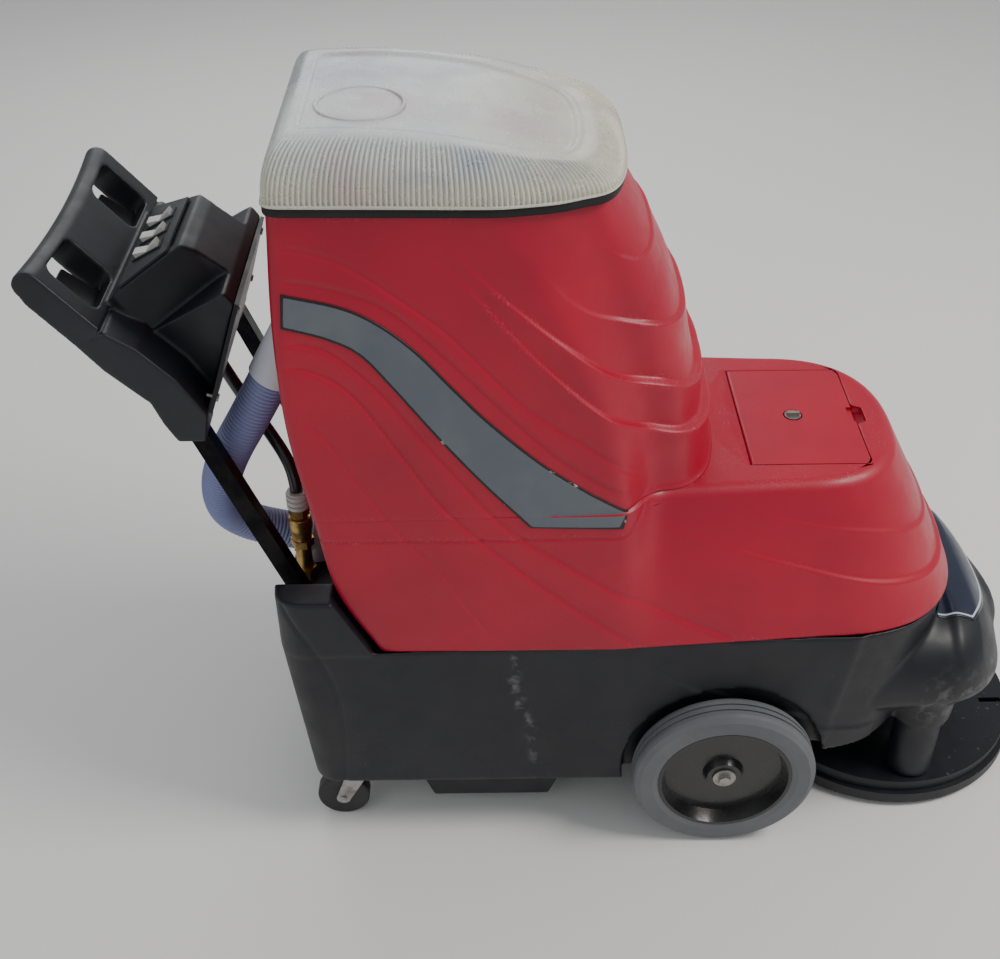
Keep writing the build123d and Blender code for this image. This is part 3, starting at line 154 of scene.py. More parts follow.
def ledge_height(ledges, z):
    """How far the wall stands out at height z, for each point round the outline."""
    out = np.zeros(2 * HALF)
    for points, depth, reach in ledges:
        end = points[-1][0]
        below = smooth_through(points, SHARE) - z
        strength = depth * ease((end - SHARE) / (0.75 * end)) ** 0.8
        lip = ease(below / LIP_ROUND) * np.exp(-np.maximum(below, 0) / reach)
        hollow = gauss(np.minimum(below, 0), 16.0) * (below < 0) + gauss(below, 4.0) * (below >= 0)
        out += strength * (lip - LIP_HOLLOW * hollow * (1 - ease(below / LIP_ROUND)) - LEDGE_REST)
    return out


def crease_height(ring, z):
    """Shallow grooves and steps across the side walls."""
    out = np.zeros(len(ring))
    side = ease((np.abs(ring[:, 1]) - SIDE_HW) / 25)
    for points, depth, step in CREASES:
        first, last = points[0][0], points[-1][0]
        inside = ease((ring[:, 0] - first) / 25) * ease((last + 8 - ring[:, 0]) / 40)
        above = z - smooth_through(points, ring[:, 0])
        groove = -depth * gauss(above, CREASE_WIDTH)
        panel = step * ease((above + 3) / 6.0) * np.exp(-np.maximum(above, 0) / CREASE_FADE)
        out += inside * side * (groove + panel)
    return out


def wall_ring(z, levels, ledges):
    """Outline of a tank at height z, with its ledges and creases."""
    ring = outline(level_at(levels, z))
    seam = -SEAM_DEPTH * gauss(z - smooth_through(TANK_SEAM, SHARE), SEAM_WIDTH) * (SHARE > SEAM_START)
    out = ledge_height(ledges, z) + crease_height(ring, z) + seam
    return ring + outward(ring) * out[:, None]


def at_height(ring, z):
    return np.column_stack([ring, np.full(len(ring), z) if np.isscalar(z) else z])


def inset(ring, amount):
    amount = amount if np.isscalar(amount) else amount[:, None]
    return ring - outward(ring) * amount


# ------------------------------------------------------------------ mesh helpers
def mesh_object(name, points, faces, smooth=True):
    mesh = bpy.data.meshes.new(name)
    mesh.from_pydata((np.asarray(points) * MM).tolist(), [], faces)
    mesh.validate()
    piece = bpy.data.objects.new(name, mesh)
    bpy.context.scene.collection.objects.link(piece)
    bm_flip(mesh)
    mesh.polygons.foreach_set("use_smooth", [smooth] * len(mesh.polygons))
    return piece


def bm_flip(mesh):
    """Points all faces outwards."""
    bm = bmesh.new()
    bm.from_mesh(mesh)
    bmesh.ops.recalc_face_normals(bm, faces=bm.faces)
    bm.to_mesh(mesh)
    bm.free()


def stack_rings(name, rings, closed_ends=True):
    """A skin over a stack of rings with the same number of points, closed at both ends."""
    rings = [np.asarray(r, float) for r in rings]
    n = len(rings[0])
    index = np.arange(n)
    following = (index + 1) % n
    faces = []
    for k in range(len(rings) - 1):
        a, b = k * n, (k + 1) * n
        faces += np.stack([a + index, a + following, b + following, b + index], 1).tolist()
    points = np.concatenate(rings)
    if closed_ends:
        middles = np.array([rings[0].mean(0), rings[-1].mean(0)])
        points = np.concatenate([points, middles])
        low, high = len(points) - 2, len(points) - 1
        last = (len(rings) - 1) * n
        faces += [[low, int(b), int(a)] for a, b in zip(index, following)]
        faces += [[high, last + int(a), last + int(b)] for a, b in zip(index, following)]
    return mesh_object(name, points, faces)


def grid_object(name, points, columns, rows):
    """A sheet over rows of points, each with one point more than it has columns."""
    width = columns + 1
    faces = [
        (k * width + i, k * width + i + 1, (k + 1) * width + i + 1, (k + 1) * width + i)
        for k in range(rows) for i in range(columns)
    ]
    return mesh_object(name, points, faces)


def thicken(piece, thickness):
    """Gives a sheet its thickness, half to each side."""
    solid = piece.modifiers.new("thickness", "SOLIDIFY")
    solid.thickness = thickness * MM
    solid.offset = 0


def join(piece, *others):
    """Adds the meshes of the others to the piece."""
    bm = bmesh.new()
    for item in (piece, *others):
        bm.from_mesh(item.data)
    bm.to_mesh(piece.data)
    bm.free()
    for item in others:
        bpy.data.objects.remove(item)


def copy_of(node, name):
    piece = bpy.data.objects.new(name, NODES[node].data.copy())
    bpy.context.scene.collection.objects.link(piece)
    piece.data.materials.clear()
    return piece


def bake_modifiers(piece):
    """Replaces the mesh by what its modifiers make of it."""
    graph = bpy.context.evaluated_depsgraph_get()
    mesh = bpy.data.meshes.new_from_object(piece.evaluated_get(graph))
    piece.modifiers.clear()
    piece.data = mesh
    mesh.polygons.foreach_set("use_smooth", [True] * len(mesh.polygons))


def soft_skin(node, name, voxel, rounds, extra=()):
    """The CAD solid as one moulded skin: remeshed evenly, with its edges rounded off."""
    piece = copy_of(node, name)
    join(piece, *extra)
    weld = piece.modifiers.new("weld", "WELD")
    weld.merge_threshold = 0.00002
    remesh = piece.modifiers.new("remesh", "REMESH")
    remesh.mode = "VOXEL"
    remesh.voxel_size = voxel * MM
    remesh.use_smooth_shade = True
    smooth = piece.modifiers.new("smooth", "SMOOTH")
    smooth.iterations = rounds
    smooth.factor = 0.5
    bake_modifiers(piece)
    return piece


def vertex_places(mesh):
    """Places of the vertices, in millimetres."""
    data = np.zeros(len(mesh.vertices) * 3)
    mesh.vertices.foreach_get("co", data)
    return data.reshape(-1, 3) / MM


def vertex_normals(mesh):
    data = np.zeros(len(mesh.vertices) * 3)
    mesh.vertex_normals.foreach_get("vector", data)
    return data.reshape(-1, 3)


def set_vertices(mesh, points):
    """Moves the vertices to these places, in millimetres."""
    mesh.vertices.foreach_set("co", (points * MM).astype(np.float32).ravel())
    mesh.update()


def add_attribute(piece, name, values):
    attribute = piece.data.attributes.new(name, "FLOAT", "POINT")
    attribute.data.foreach_set("value", np.asarray(values, np.float32))


# ------------------------------------------------------------------ materials
class Paint:
    """A procedural material on one Principled shader."""

    def __init__(self, name, colour, rough, metallic=0.0, specular=0.5, coat=0.0):
        self.material = bpy.data.materials.new(name)
        self.material.use_nodes = True
        self.tree = self.material.node_tree
        self.shader = self.tree.nodes["Principled BSDF"]
        self.set("Base Color", (*colour, 1))
        self.set("Roughness", rough)
        self.set("Metallic", metallic)
        self.set("Specular IOR Level", specular)
        self.set("Coat Weight", coat)
        self.set("Coat Roughness", 0.12)
        self.colour, self.rough, self.height = None, None, None
        self.base, self.base_rough = (*colour, 1), rough

    def set(self, socket, value):
        self.shader.inputs[socket].default_value = value

    def node(self, kind, **settings):
        node = self.tree.nodes.new(kind)
        for key, value in settings.items():
            setattr(node, key, value)
        return node

    def link(self, source, target):
        self.tree.links.new(source, target)

    def space(self, stretch=(1, 1, 1)):
        place = self.node("ShaderNodeTexCoord").outputs["Object"]
        mapping = self.node("ShaderNodeMapping")
        mapping.inputs["Scale"].default_value = stretch
        self.link(place, mapping.inputs["Vector"])
        return mapping.outputs["Vector"]

    def noise(self, scale, detail=4.0, stretch=(1, 1, 1), rough=0.55):
        noise = self.node("ShaderNodeTexNoise")
        noise.inputs["Scale"].default_value = scale
        noise.inputs["Detail"].default_value = detail
        noise.inputs["Roughness"].default_value = rough
        self.link(self.space(stretch), noise.inputs["Vector"])
        return noise.outputs["Fac"]

    def attribute(self, name):
        return self.node("ShaderNodeAttribute", attribute_name=name).outputs["Fac"]

    def ramp(self, value, low, high, out_low=0.0, out_high=1.0):
        ramp = self.node("ShaderNodeMapRange", clamp=True)
        self.link(value, ramp.inputs["Value"])
        for key, number in zip(("From Min", "From Max", "To Min", "To Max"), (low, high, out_low, out_high)):
            ramp.inputs[key].default_value = number
        return ramp.outputs["Result"]

    def math(self, operation, a, b):
        node = self.node("ShaderNodeMath", operation=operation)
        for socket, value in zip(node.inputs, (a, b)):
            if isinstance(value, (int, float)):
                socket.default_value = value
            else:
                self.link(value, socket)
        return node.outputs[0]

    def tint(self, colour, share):
        """Mixes another colour in, where the share is high."""
        mix = self.node("ShaderNodeMix", data_type="RGBA")
        a, b = [s for s in mix.inputs if s.type == "RGBA"][:2]
        if self.colour is None:
            a.default_value = self.base
        else:
            self.link(self.colour, a)
        b.default_value = (*colour, 1)
        self.link(share, mix.inputs[0])
        self.colour = next(s for s in mix.outputs if s.type == "RGBA")
        self.link(self.colour, self.shader.inputs["Base Color"])
        return self

    def roughen(self, share, change):
        start = self.base_rough if self.rough is None else self.rough
        self.rough = self.math("ADD", self.math("MULTIPLY", share, change), start)
        self.link(self.rough, self.shader.inputs["Roughness"])
        return self

    def bump(self, value, distance, strength=1.0):
        bump = self.node("ShaderNodeBump")
        bump.inputs["Distance"].default_value = distance
        bump.inputs["Strength"].default_value = strength
        self.link(value, bump.inputs["Height"])
        if self.height is not None:
            self.link(self.height, bump.inputs["Normal"])
        self.height = bump.outputs["Normal"]
        self.link(self.height, self.shader.inputs["Normal"])
        return self


def moulded(name, colour, shade, rough, grain=900, grain_depth=0.00006, coat=0.0, dust=None):
    """Moulded plastic: fine grain, slow variation of tone, and dust in patches."""
    paint = Paint(name, colour, rough, coat=coat)
    paint.tint(shade, paint.ramp(paint.noise(6, 5), 0.35, 0.7, 0.0, 0.8))
    paint.roughen(paint.ramp(paint.noise(28, 6), 0.35, 0.7), 0.14)
    if dust:
        patches = paint.math("MULTIPLY", paint.ramp(paint.noise(9, 8), 0.5, 0.75), 0.3)
        paint.tint(dust, patches)
    paint.bump(paint.noise(grain, 2), grain_depth, 0.6)
    paint.bump(paint.noise(22, 3), 0.0006, 0.35)
    return paint


def scratched(paint, colour, amount=0.6):
    """Fine long scratches and short scuffs."""
    lines = paint.ramp(paint.noise(160, 2, (1, 1, 7), 0.3), 0.72, 0.75)
    marks = paint.math("MULTIPLY", lines, paint.ramp(paint.noise(5, 3), 0.52, 0.7))
    return paint.tint(colour, paint.math("MULTIPLY", marks, amount))


def red_shell():
    paint = moulded("red_shell", (0.46, 0.0005, 0.026), (0.35, 0.0004, 0.024), 0.38, coat=0.1)
    scuff = paint.math("MULTIPLY", paint.attribute("scuff"), paint.ramp(paint.noise(420, 6), 0.54, 0.66))
    scuff = paint.math("MULTIPLY", scuff, paint.ramp(paint.noise(24, 3), 0.42, 0.6))
    paint.tint((0.60, 0.17, 0.19), paint.math("MULTIPLY", scuff, 0.6))
    paint.roughen(scuff, 0.25)
    return scratched(paint, (0.55, 0.10, 0.11), 0.4).material


def worn_black(paint, colour, amount):
    """Pale rubbed marks where the piece is worn, and scratches all over."""
    marks = paint.math("MULTIPLY", paint.attribute("scuff"), paint.ramp(paint.noise(60, 7), 0.5, 0.68))
    paint.tint(colour, paint.math("MULTIPLY", marks, 0.75))
    return scratched(paint, colour, amount)


def metal(name, colour, rough, top_tint, amount=0.5, scale=60):
    paint = Paint(name, colour, rough, metallic=1.0)
    spots = paint.ramp(paint.noise(scale, 7), 0.45, 0.68)
    paint.tint(top_tint, paint.math("MULTIPLY", spots, amount))
    paint.roughen(spots, 0.25)
    paint.bump(paint.noise(scale * 6, 3), 0.0001, 0.5)
    return paint.material


def clear_dome():
    """Aged clear plastic: milky and yellowish, cooler white towards the top, with bluish patches on top and
    pink patches all over.
    """
    paint = Paint("clear_dome", (0.97, 0.96, 0.82), 0.22, specular=0.5)
    paint.set("Transmission Weight", 0.42)
    paint.set("IOR", 1.4)
    height = paint.node("ShaderNodeSeparateXYZ")
    paint.link(paint.space(), height.inputs["Vector"])
    # Colour turns from yellowish to a cooler white towards the top of the dome
    paint.tint((0.92, 0.95, 0.95), paint.ramp(height.outputs["Z"], 0.975, 1.015))
    on_top = paint.ramp(height.outputs["Z"], 0.97, 0.99)
    # Bluish tint in patches, only on the top of the dome
    top_tint = paint.math("MULTIPLY", paint.ramp(paint.noise(9, 5), 0.5, 0.68), on_top)
    paint.tint((0.55, 0.66, 0.80), paint.math("MULTIPLY", top_tint, 0.55))
    pink = paint.math("MULTIPLY", paint.ramp(paint.noise(6, 4, (1, 1.6, 1)), 0.55, 0.7), 0.4)
    paint.tint((0.78, 0.52, 0.62), pink)
    haze = paint.ramp(paint.noise(26, 6), 0.4, 0.72)
    paint.roughen(haze, 0.2)
    paint.bump(paint.noise(120, 4), 0.0003, 0.3)
    return paint.material


MATERIALS = {
    "red": red_shell(),
    "base": worn_black(
        moulded("base_black", (0.005, 0.006, 0.009), (0.008, 0.010, 0.016), 0.40, 700,
                dust=(0.022, 0.023, 0.026)), (0.16, 0.16, 0.17), 0.7).material,
    "handle": scratched(
        moulded("handle_black", (0.006, 0.008, 0.012), (0.011, 0.014, 0.020), 0.38, 800,
                dust=(0.03, 0.032, 0.038)), (0.14, 0.14, 0.15), 0.5).material,
    "dome": clear_dome(),
    "gasket": moulded("gasket_rubber", (0.006, 0.006, 0.007), (0.012, 0.012, 0.012), 0.62).material,
    "tyre": moulded("tyre_rubber", (0.115, 0.125, 0.135), (0.17, 0.18, 0.185), 0.66, 500,
                    dust=(0.20, 0.20, 0.20)).material,
    "hub": scratched(moulded("hub_plastic", (0.008, 0.008, 0.009), (0.014, 0.014, 0.015), 0.22, coat=0.4),
                     (0.12, 0.12, 0.12), 0.4).material,
    "zinc": metal("zinc_plate", (0.40, 0.39, 0.37), 0.38, (0.22, 0.18, 0.13)),
    "steel": metal("bright_steel", (0.55, 0.55, 0.56), 0.28, (0.28, 0.26, 0.24), 0.4),
    "fork": metal("fork_zinc", (0.42, 0.42, 0.42), 0.42, (0.20, 0.15, 0.10), 0.7),
    "caster": moulded("caster_tread", (0.018, 0.018, 0.02), (0.05, 0.05, 0.052), 0.5,
                      dust=(0.16, 0.15, 0.14)).material,
    "tube": metal("tube_paint", (0.010, 0.010, 0.012), 0.34, (0.05, 0.045, 0.04), 0.4, 30),
    "white": moulded("switch_white", (0.78, 0.77, 0.74), (0.66, 0.65, 0.62), 0.32,
                     dust=(0.35, 0.33, 0.30)).material,
    "panel": moulded("panel_plate", (0.020, 0.022, 0.027), (0.03, 0.033, 0.04), 0.35,
                     dust=(0.07, 0.07, 0.07)).material,
    "hose": moulded("vacuum_hose", (0.22, 0.25, 0.46), (0.17, 0.20, 0.40), 0.42,
                    dust=(0.24, 0.25, 0.32)).material,
    "cuff": moulded("hose_cuff", (0.62, 0.64, 0.70), (0.50, 0.52, 0.58), 0.42,
                    dust=(0.36, 0.36, 0.36)).material,
    "sol_hose": moulded("solution_hose", (0.007, 0.007, 0.008), (0.012, 0.012, 0.014), 0.24,
                        coat=0.4).material,
    "fitting": moulded("hose_fitting", (0.72, 0.71, 0.67), (0.58, 0.56, 0.52), 0.4,
                       dust=(0.40, 0.37, 0.32)).material,
    "brass": metal("old_brass", (0.50, 0.33, 0.12), 0.36, (0.14, 0.075, 0.03), 0.8),
    "skirt": moulded("splash_skirt", (0.02, 0.02, 0.022), (0.035, 0.035, 0.036), 0.6,
                     dust=(0.10, 0.10, 0.095)).material,
    "bristle": moulded("brush_bristle", (0.10, 0.10, 0.11), (0.16, 0.16, 0.16), 0.6, 1500, 0.0008).material,
    "motor": moulded("motor_case", (0.10, 0.11, 0.12), (0.15, 0.15, 0.16), 0.45).material,
    "belt": moulded("drive_belt", (0.012, 0.012, 0.012), (0.03, 0.03, 0.03), 0.7).material,
    "strainer": moulded("strainer_mesh", (0.55, 0.56, 0.55), (0.45, 0.46, 0.46), 0.5).material,
    "trigger": moulded("trigger_black", (0.012, 0.012, 0.014), (0.02, 0.02, 0.024), 0.3, coat=0.2).material,
}


def paint_piece(piece, key, body="machine"):
    piece.data.materials.clear()
    piece.data.materials.append(MATERIALS[key])
    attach(piece, body)
    return piece


# ------------------------------------------------------------------ solution tank and its deck
HATCH_REAR_X, HATCH_FRONT_X, HATCH_HW, HATCH_T, HATCH_GAP = 196.0, 352.0, 112.0, 8.4, 1.5
FILL_MARGIN, DECK_T, DECK_ROUND = 20.0, 14.0, 13.0
NOTCH_DEPTH, NOTCH_HW = 13.0, 24.0  # finger notch in front of the hatch
COLUMN_HW, COLUMN_X = 148.0, 90.0  # the deck's part that the column covers
FRONT_SHARE, SIDE_SHARE = 0.14, 0.36  # where the hatch's corners come, round the outline
RING_STEP, TOP_STEP_Z = 1.9, 546.0  # spacing of the wall's rings, and where the finer ones start


def rectangle_ring(rear_x, front_x, half_width, notch=0.0):
    """Rectangle with as many points as an outline, matched to it, with a finger notch in front."""
    share = np.interp(SHARE, [0, FRONT_SHARE, SIDE_SHARE, 1], [0, 1, 2, 3])
    x = np.interp(share, [0, 1, 2, 3], [front_x, front_x, rear_x, rear_x])
    y = np.interp(share, [0, 1, 2, 3], [0, half_width, half_width, 0])
    y[HALF + 1:] *= -1
    x = x + notch * ease((NOTCH_HW - np.abs(y)) / 9) * (share < 1)
    return np.stack([x, y], 1)


def build_solution_tank():
    rings = []
    low = np.arange(SEAM_Z + 0.2, TOP_STEP_Z, RING_STEP)
    high = np.linspace(TOP_STEP_Z + 0.5, DECK_Z, 12)
    for z in np.concatenate([low, high]):
        ring = wall_ring(z, SOLUTION_LEVELS, TANK_LEDGES)
        rise = np.clip((z - DECK_Z + DECK_ROUND) / DECK_ROUND, 0, 1)
        rounding = DECK_ROUND * (1 - math.sqrt(1 - rise * rise)) * ease((ring[:, 0] - 40) / 50)
        rings.append(at_height(inset(ring, rounding), z))
    edge = rings[-1][:, :2]
    seat = rectangle_ring(HATCH_REAR_X - HATCH_GAP, HATCH_FRONT_X + HATCH_GAP, HATCH_HW + HATCH_GAP,
                          NOTCH_DEPTH)
    # Under the column the deck's points are drawn in first, so that no face folds over
    under = ease((COLUMN_X - edge[:, 0]) / 40)
    held = edge.copy()
    held[:, 1] = np.clip(edge[:, 1], -COLUMN_HW, COLUMN_HW) * under + edge[:, 1] * (1 - under)
    rings.append(at_height(held, DECK_Z))
    for t in np.linspace(0.08, 1, 12):
        rings.append(at_height(held * (1 - t) + seat * t, DECK_Z))
    mouth = rectangle_ring(HATCH_REAR_X + FILL_MARGIN, HATCH_FRONT_X - FILL_MARGIN, HATCH_HW - FILL_MARGIN)
    rings += [at_height(seat, DECK_Z - 1), at_height(seat, DECK_Z - HATCH_T)]
    rings += [at_height(mouth, DECK_Z - HATCH_T), at_height(mouth, DECK_Z - DECK_T)]
    for z in np.linspace(DECK_Z - DECK_T, SEAM_Z + WALL, 10):
        inside = inset(outline(level_at(SOLUTION_LEVELS, z)), WALL + 4)
        rings.append(at_height(inside, z))
    piece = stack_rings("tank_lower_shell", rings)
    paint_piece(piece, "red")
    mark_scuffs(piece, TANK_LEDGES, SOLUTION_LEVELS)
    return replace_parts(piece, "solution_tank")


# Where the deck's front edge and the seam under the column are worn
DECK_WEAR_X, SEAM_WEAR_Z, SEAM_WEAR_SHARE = 70.0, 529.0, 0.455


def mark_scuffs(piece, ledges, levels):
    """Wear along the lips of the ledges and along the sharp edges of a shell."""
    points = vertex_places(piece.data)
    share = np.resize(SHARE, len(points))
    worn = np.zeros(len(points))
    for curve, depth, _ in ledges:
        from_lip = smooth_through(curve, share) - points[:, 2] - 3
        worn = np.maximum(worn, gauss(from_lip, 5) * ease((curve[-1][0] - share) / 0.15) * depth / 12)
    worn = np.maximum(worn, 0.5 * gauss(points[:, 2] - levels[0][0] - 3, 3))
    if levels is SOLUTION_LEVELS:
        deck_edge = gauss(points[:, 2] - DECK_Z + 1, 4) * (points[:, 0] > DECK_WEAR_X)
        worn = np.maximum(worn, 0.7 * deck_edge)
        worn = np.maximum(worn, 0.8 * gauss(points[:, 2] - SEAM_WEAR_Z, 3) * (share > SEAM_WEAR_SHARE))
    else:
        worn = np.maximum(worn, 0.6 * gauss(points[:, 2] - RIM_Z, 4))
    add_attribute(piece, "scuff", worn)


# ------------------------------------------------------------------ recovery tank
FOOT_SINK = 8.0  # how far the column's foot goes into the deck
FOOT_HIDE, FOOT_X = 8.0, 85.0  # its inset where both tanks' walls meet
FOOT_ROUND = 5.0  # fillet between the column and the deck


def build_recovery_tank():
    foot_ring = wall_ring(DECK_Z, RECOVERY_LEVELS, COLUMN_LEDGES)
    hidden = FOOT_HIDE * ease((FOOT_X - foot_ring[:, 0]) / 20)
    rings = [at_height(inset(foot_ring, hidden), DECK_Z - FOOT_SINK)]
    low, high = np.arange(DECK_Z + 0.2, RIM_Z - 3, 1.7), np.linspace(RIM_Z - 2.6, RIM_Z, 5)
    for z in np.concatenate([low, high]):
        ring = wall_ring(z, RECOVERY_LEVELS, COLUMN_LEDGES)
        foot = FOOT_ROUND * np.exp(-(z - DECK_Z) / FOOT_ROUND) * ease((ring[:, 0] - 40) / 30)
        rings.append(at_height(inset(ring, -foot), z))
    for z in np.linspace(RIM_Z, DECK_Z + WALL, 24):
        rings.append(at_height(inset(outline(level_at(RECOVERY_LEVELS, z)), WALL + 6), z))
    piece = stack_rings("tank_upper_shell", rings)
    paint_piece(piece, "red")
    mark_scuffs(piece, COLUMN_LEDGES, RECOVERY_LEVELS)
    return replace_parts(piece, "recovery_tank")


def wall_table():
    """Half width of the side walls over a grid of x and z."""
    xs, zs = np.arange(-380, 40, 4.0), np.arange(530, 872, 3.0)
    table = np.zeros((len(zs), len(xs)))
    for row, z in zip(table, zs):
        lower = z < DECK_Z
        levels, ledges = (SOLUTION_LEVELS, TANK_LEDGES) if lower else (RECOVERY_LEVELS, COLUMN_LEDGES)
        side = wall_ring(z, levels, ledges)[int(0.24 * HALF):int(0.9 * HALF)]
        row[:] = np.interp(-xs, -side[:, 0], side[:, 1])
    return xs, zs, table


def wall_width(walls, x, z):
    """Half width of the wall at x and z, between the grid's values."""
    xs, zs, table = walls
    k = np.clip((z - zs[0]) / (zs[1] - zs[0]), 0, len(zs) - 1.001)
    low, part = int(k), k - int(k)
    return np.interp(x, xs, table[low]) * (1 - part) + np.interp(x, xs, table[low + 1]) * part


# ------------------------------------------------------------------ plain band on the side walls
BAND_TOP = [(-369, 860), (-306, 845), (-265, 825), (-223, 790), (-180, 740), (-140, 695), (-77, 635),
            (-17, 590), (29, 561)]
BAND_LOW = [(-372, 820), (-322, 805), (-286, 785), (-253, 745), (-220, 700), (-186, 655), (-141, 600),
            (-92, 545), (23, 540)]
BAND_BORDER = 3.0  # width of its dark line
BAND_STAND = 0.7  # height over the wall
BAND_LENGTH, BAND_T = 470.0, 0.9


def band_paint():
    paint = moulded("band_foil", (0.105, 0.125, 0.150), (0.14, 0.155, 0.17), 0.34, dust=(0.26, 0.26, 0.25))
    uneven = paint.math("ADD", paint.attribute("border"), paint.math("MULTIPLY", paint.noise(300, 3), 0.3))
    edge = paint.ramp(uneven, 1.12, 1.18, 1, 0)
    paint.tint((0.012, 0.008, 0.010), edge)
    near_edge = paint.ramp(uneven, 1.3, 1.5, 1, 0)
    chips = paint.math("MULTIPLY", near_edge, paint.ramp(paint.noise(45, 4), 0.66, 0.7))
    paint.tint((0.40, 0.36, 0.30), chips)
    paint.roughen(chips, 0.3)
    return paint.material


def along(points, t):
    """Place at share t of an edge of the band: a smooth curve that ends in a straight stretch."""
    spots = np.linspace(0, 1, len(points))
    table = [(s, *p) for s, p in zip(spots[:-1], points[:-1])]
    last = np.array(points[-2:], float)
    share = np.clip((t - spots[-2]) / (1 - spots[-2]), 0, 1)
    return smooth_through(table, t) * (share == 0) + (last[0] * (1 - share) + last[1] * share) * (share > 0)


def build_band(side, name, material, walls):
    columns, rows = 220, 26
    points, border = [], []
    for k in range(rows + 1):
        for i in range(columns + 1):
            t, v = i / columns, k / rows
            top, low = along(BAND_TOP, t), along(BAND_LOW, t)
            x, z = top * (1 - v) + low * v
            across = np.linalg.norm(top - low)
            from_edge = min(v * across, (1 - v) * across, t * BAND_LENGTH, (1 - t) * BAND_LENGTH)
            points.append((x, side * (wall_width(walls, x, z) + BAND_STAND), z))
            border.append(from_edge / BAND_BORDER)
    piece = grid_object(name, points, columns, rows)
    add_attribute(piece, "border", border)
    thicken(piece, BAND_T)
    piece.data.materials.append(material)
    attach(piece, "machine")
    return piece


# ------------------------------------------------------------------ clear dome
LID_RIM = (-383, 178, -28, 158, -61, 175, -126, 186, 20)
LID_LOW = RIM_Z + GASKET_T + 0.4
DOME_TOP = [(-390, 64), (-240, 64), (-150, 51), (-80, 33), (-45, 24), (0, 20)]  # x, height over the rim
DOME_RIBS, RIB_H = 122, 1.7  # ribs on each half, and their size
DOME_WALL = 3.0
DOME_POINTS = 1220  # outline points on each half
DOME_BEAD = [(-2, 0), (-3.2, 1), (-2.6, 4)]  # inset and height of the bead along the rim
# Border round the top panel, as the share of the way from its middle and the drop below it
PANEL_BORDER = [(0.985, -0.8), (0.965, -0.8), (0.95, 0.8), (0.94, 2.2), (0.92, 2.4), (0.8, 2.0), (0.6, 1.4),
                (0.4, 1.0), (0.2, 0.8), (0.06, 0.8)]
GASKET_PROFILE = [(9, 0.3), (-0.6, 0.3), (-1.4, 2), (-1.4, 8), (-0.6, 9.8), (9, 9.8)]  # inset and height
PANEL_REAR_X, PANEL_SCALE = -349.0, (0.80, 0.67)  # top panel, as a smaller copy of the rim
DOME_MIDDLE = (-210.0, 0.0)
RING_PLACE, RING_R, RING_WIRE_R = (-281.0, -45.0), (50.0, 50.0), 2.2


def lid_outline(half):
    return outline(LID_RIM, 12.0, half=half)


def build_gasket():
    """Black ring under the dome."""
    rim = lid_outline(HALF)
    rings = [at_height(inset(rim, amount), RIM_Z + height) for amount, height in GASKET_PROFILE]
    piece = stack_rings("gasket_ring", rings + rings[:1], closed_ends=False)
    paint_piece(piece, "gasket")
    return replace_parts(piece, "lid_gasket")


def dome_skin(rim, shrink, ribs):
    """Rings of the dome: up its leaning side, over the edge of the top panel and to its middle."""
    middle = np.array(DOME_MIDDLE)
    rim = inset(rim, shrink)
    panel = rim * PANEL_SCALE
    panel[:, 0] += PANEL_REAR_X - panel[:, 0].min()
    height = smooth_through(DOME_TOP, panel[:, 0]) - shrink
    rings = []
    for turn in np.radians(np.linspace(0, 90, 40)):
        lean, rise = 1 - math.cos(turn) ** 0.95, math.sin(turn) ** 0.9
        plan = rim * (1 - lean) + panel * lean
        band = float(ease(rise / 0.06) * ease((0.985 - rise) / 0.06))
        plan = plan + outward(rim) * (ribs * band)[:, None]
        rings.append(at_height(plan, LID_LOW + height * rise + 0.6 * ribs * band * rise))
    edge = rings[-1][:, :2]
    for reach, drop in PANEL_BORDER:
        plan = middle + (edge - middle) * reach
        lift = smooth_through(DOME_TOP, plan[:, 0]) - shrink
        rings.append(at_height(plan, LID_LOW + lift - drop))
    return rings


def build_dome():
    rim = lid_outline(DOME_POINTS)
    count = len(rim)
    share = np.minimum(np.arange(count), count - np.arange(count)) / (count / 2)
    ribs = RIB_H * (2 * np.abs(np.sin(share * DOME_RIBS * math.pi)) - 1.2)
    outer = dome_skin(rim, 0.0, ribs)
    inner = dome_skin(rim, DOME_WALL, np.zeros(count))
    bead = [at_height(inset(rim, amount), LID_LOW + height) for amount, height in DOME_BEAD]
    inner[0][:, 2] = LID_LOW
    rings = outer[:0:-1] + bead[::-1] + inner
    piece = stack_rings("dome_shell", rings)
    paint_piece(piece, "dome", "lid")
    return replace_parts(piece, "recovery_lid")


def build_dome_ring():
    """Raised ring moulded into the top of the dome."""
    top = LID_LOW + float(smooth_through(DOME_TOP, RING_PLACE[0])) - 2.2
    turn = np.linspace(0, 2 * math.pi, 96, endpoint=False)
    way = np.stack([np.cos(turn), np.sin(turn)], 1)
    rings = []
    for angle in np.linspace(0, 2 * math.pi, 13):
        size = np.array(RING_R) + RING_WIRE_R * math.cos(angle)
        rings.append(at_height(np.array(RING_PLACE) + way * size, top + 0.8 * RING_WIRE_R * math.sin(angle)))
    piece = stack_rings("dome_ring", rings, closed_ends=False)
    return paint_piece(piece, "dome", "lid")


# ------------------------------------------------------------------ base
BASE_CREASES = [
    ([(-408, 432), (-368, 346), (-348, 271), (-346, 192), (-351, 105)], 1.8),
    ([(-113, 300), (-108, 271), (-87, 194), (-77, 124), (-74, 100)], 1.4),
]
BASE_VOXEL, HANDLE_VOXEL = 2.8, 1.7  # voxel sizes of the two skins
NOSE_SLOPE = [(500, 6), (540, 0), (608, -34)]  # x, and how far the top is raised there
BASE_LEDGES = [([(60, 330), (132, 272), (202, 238), (272, 210), (364, 186), (470, 176)], 3.0)]


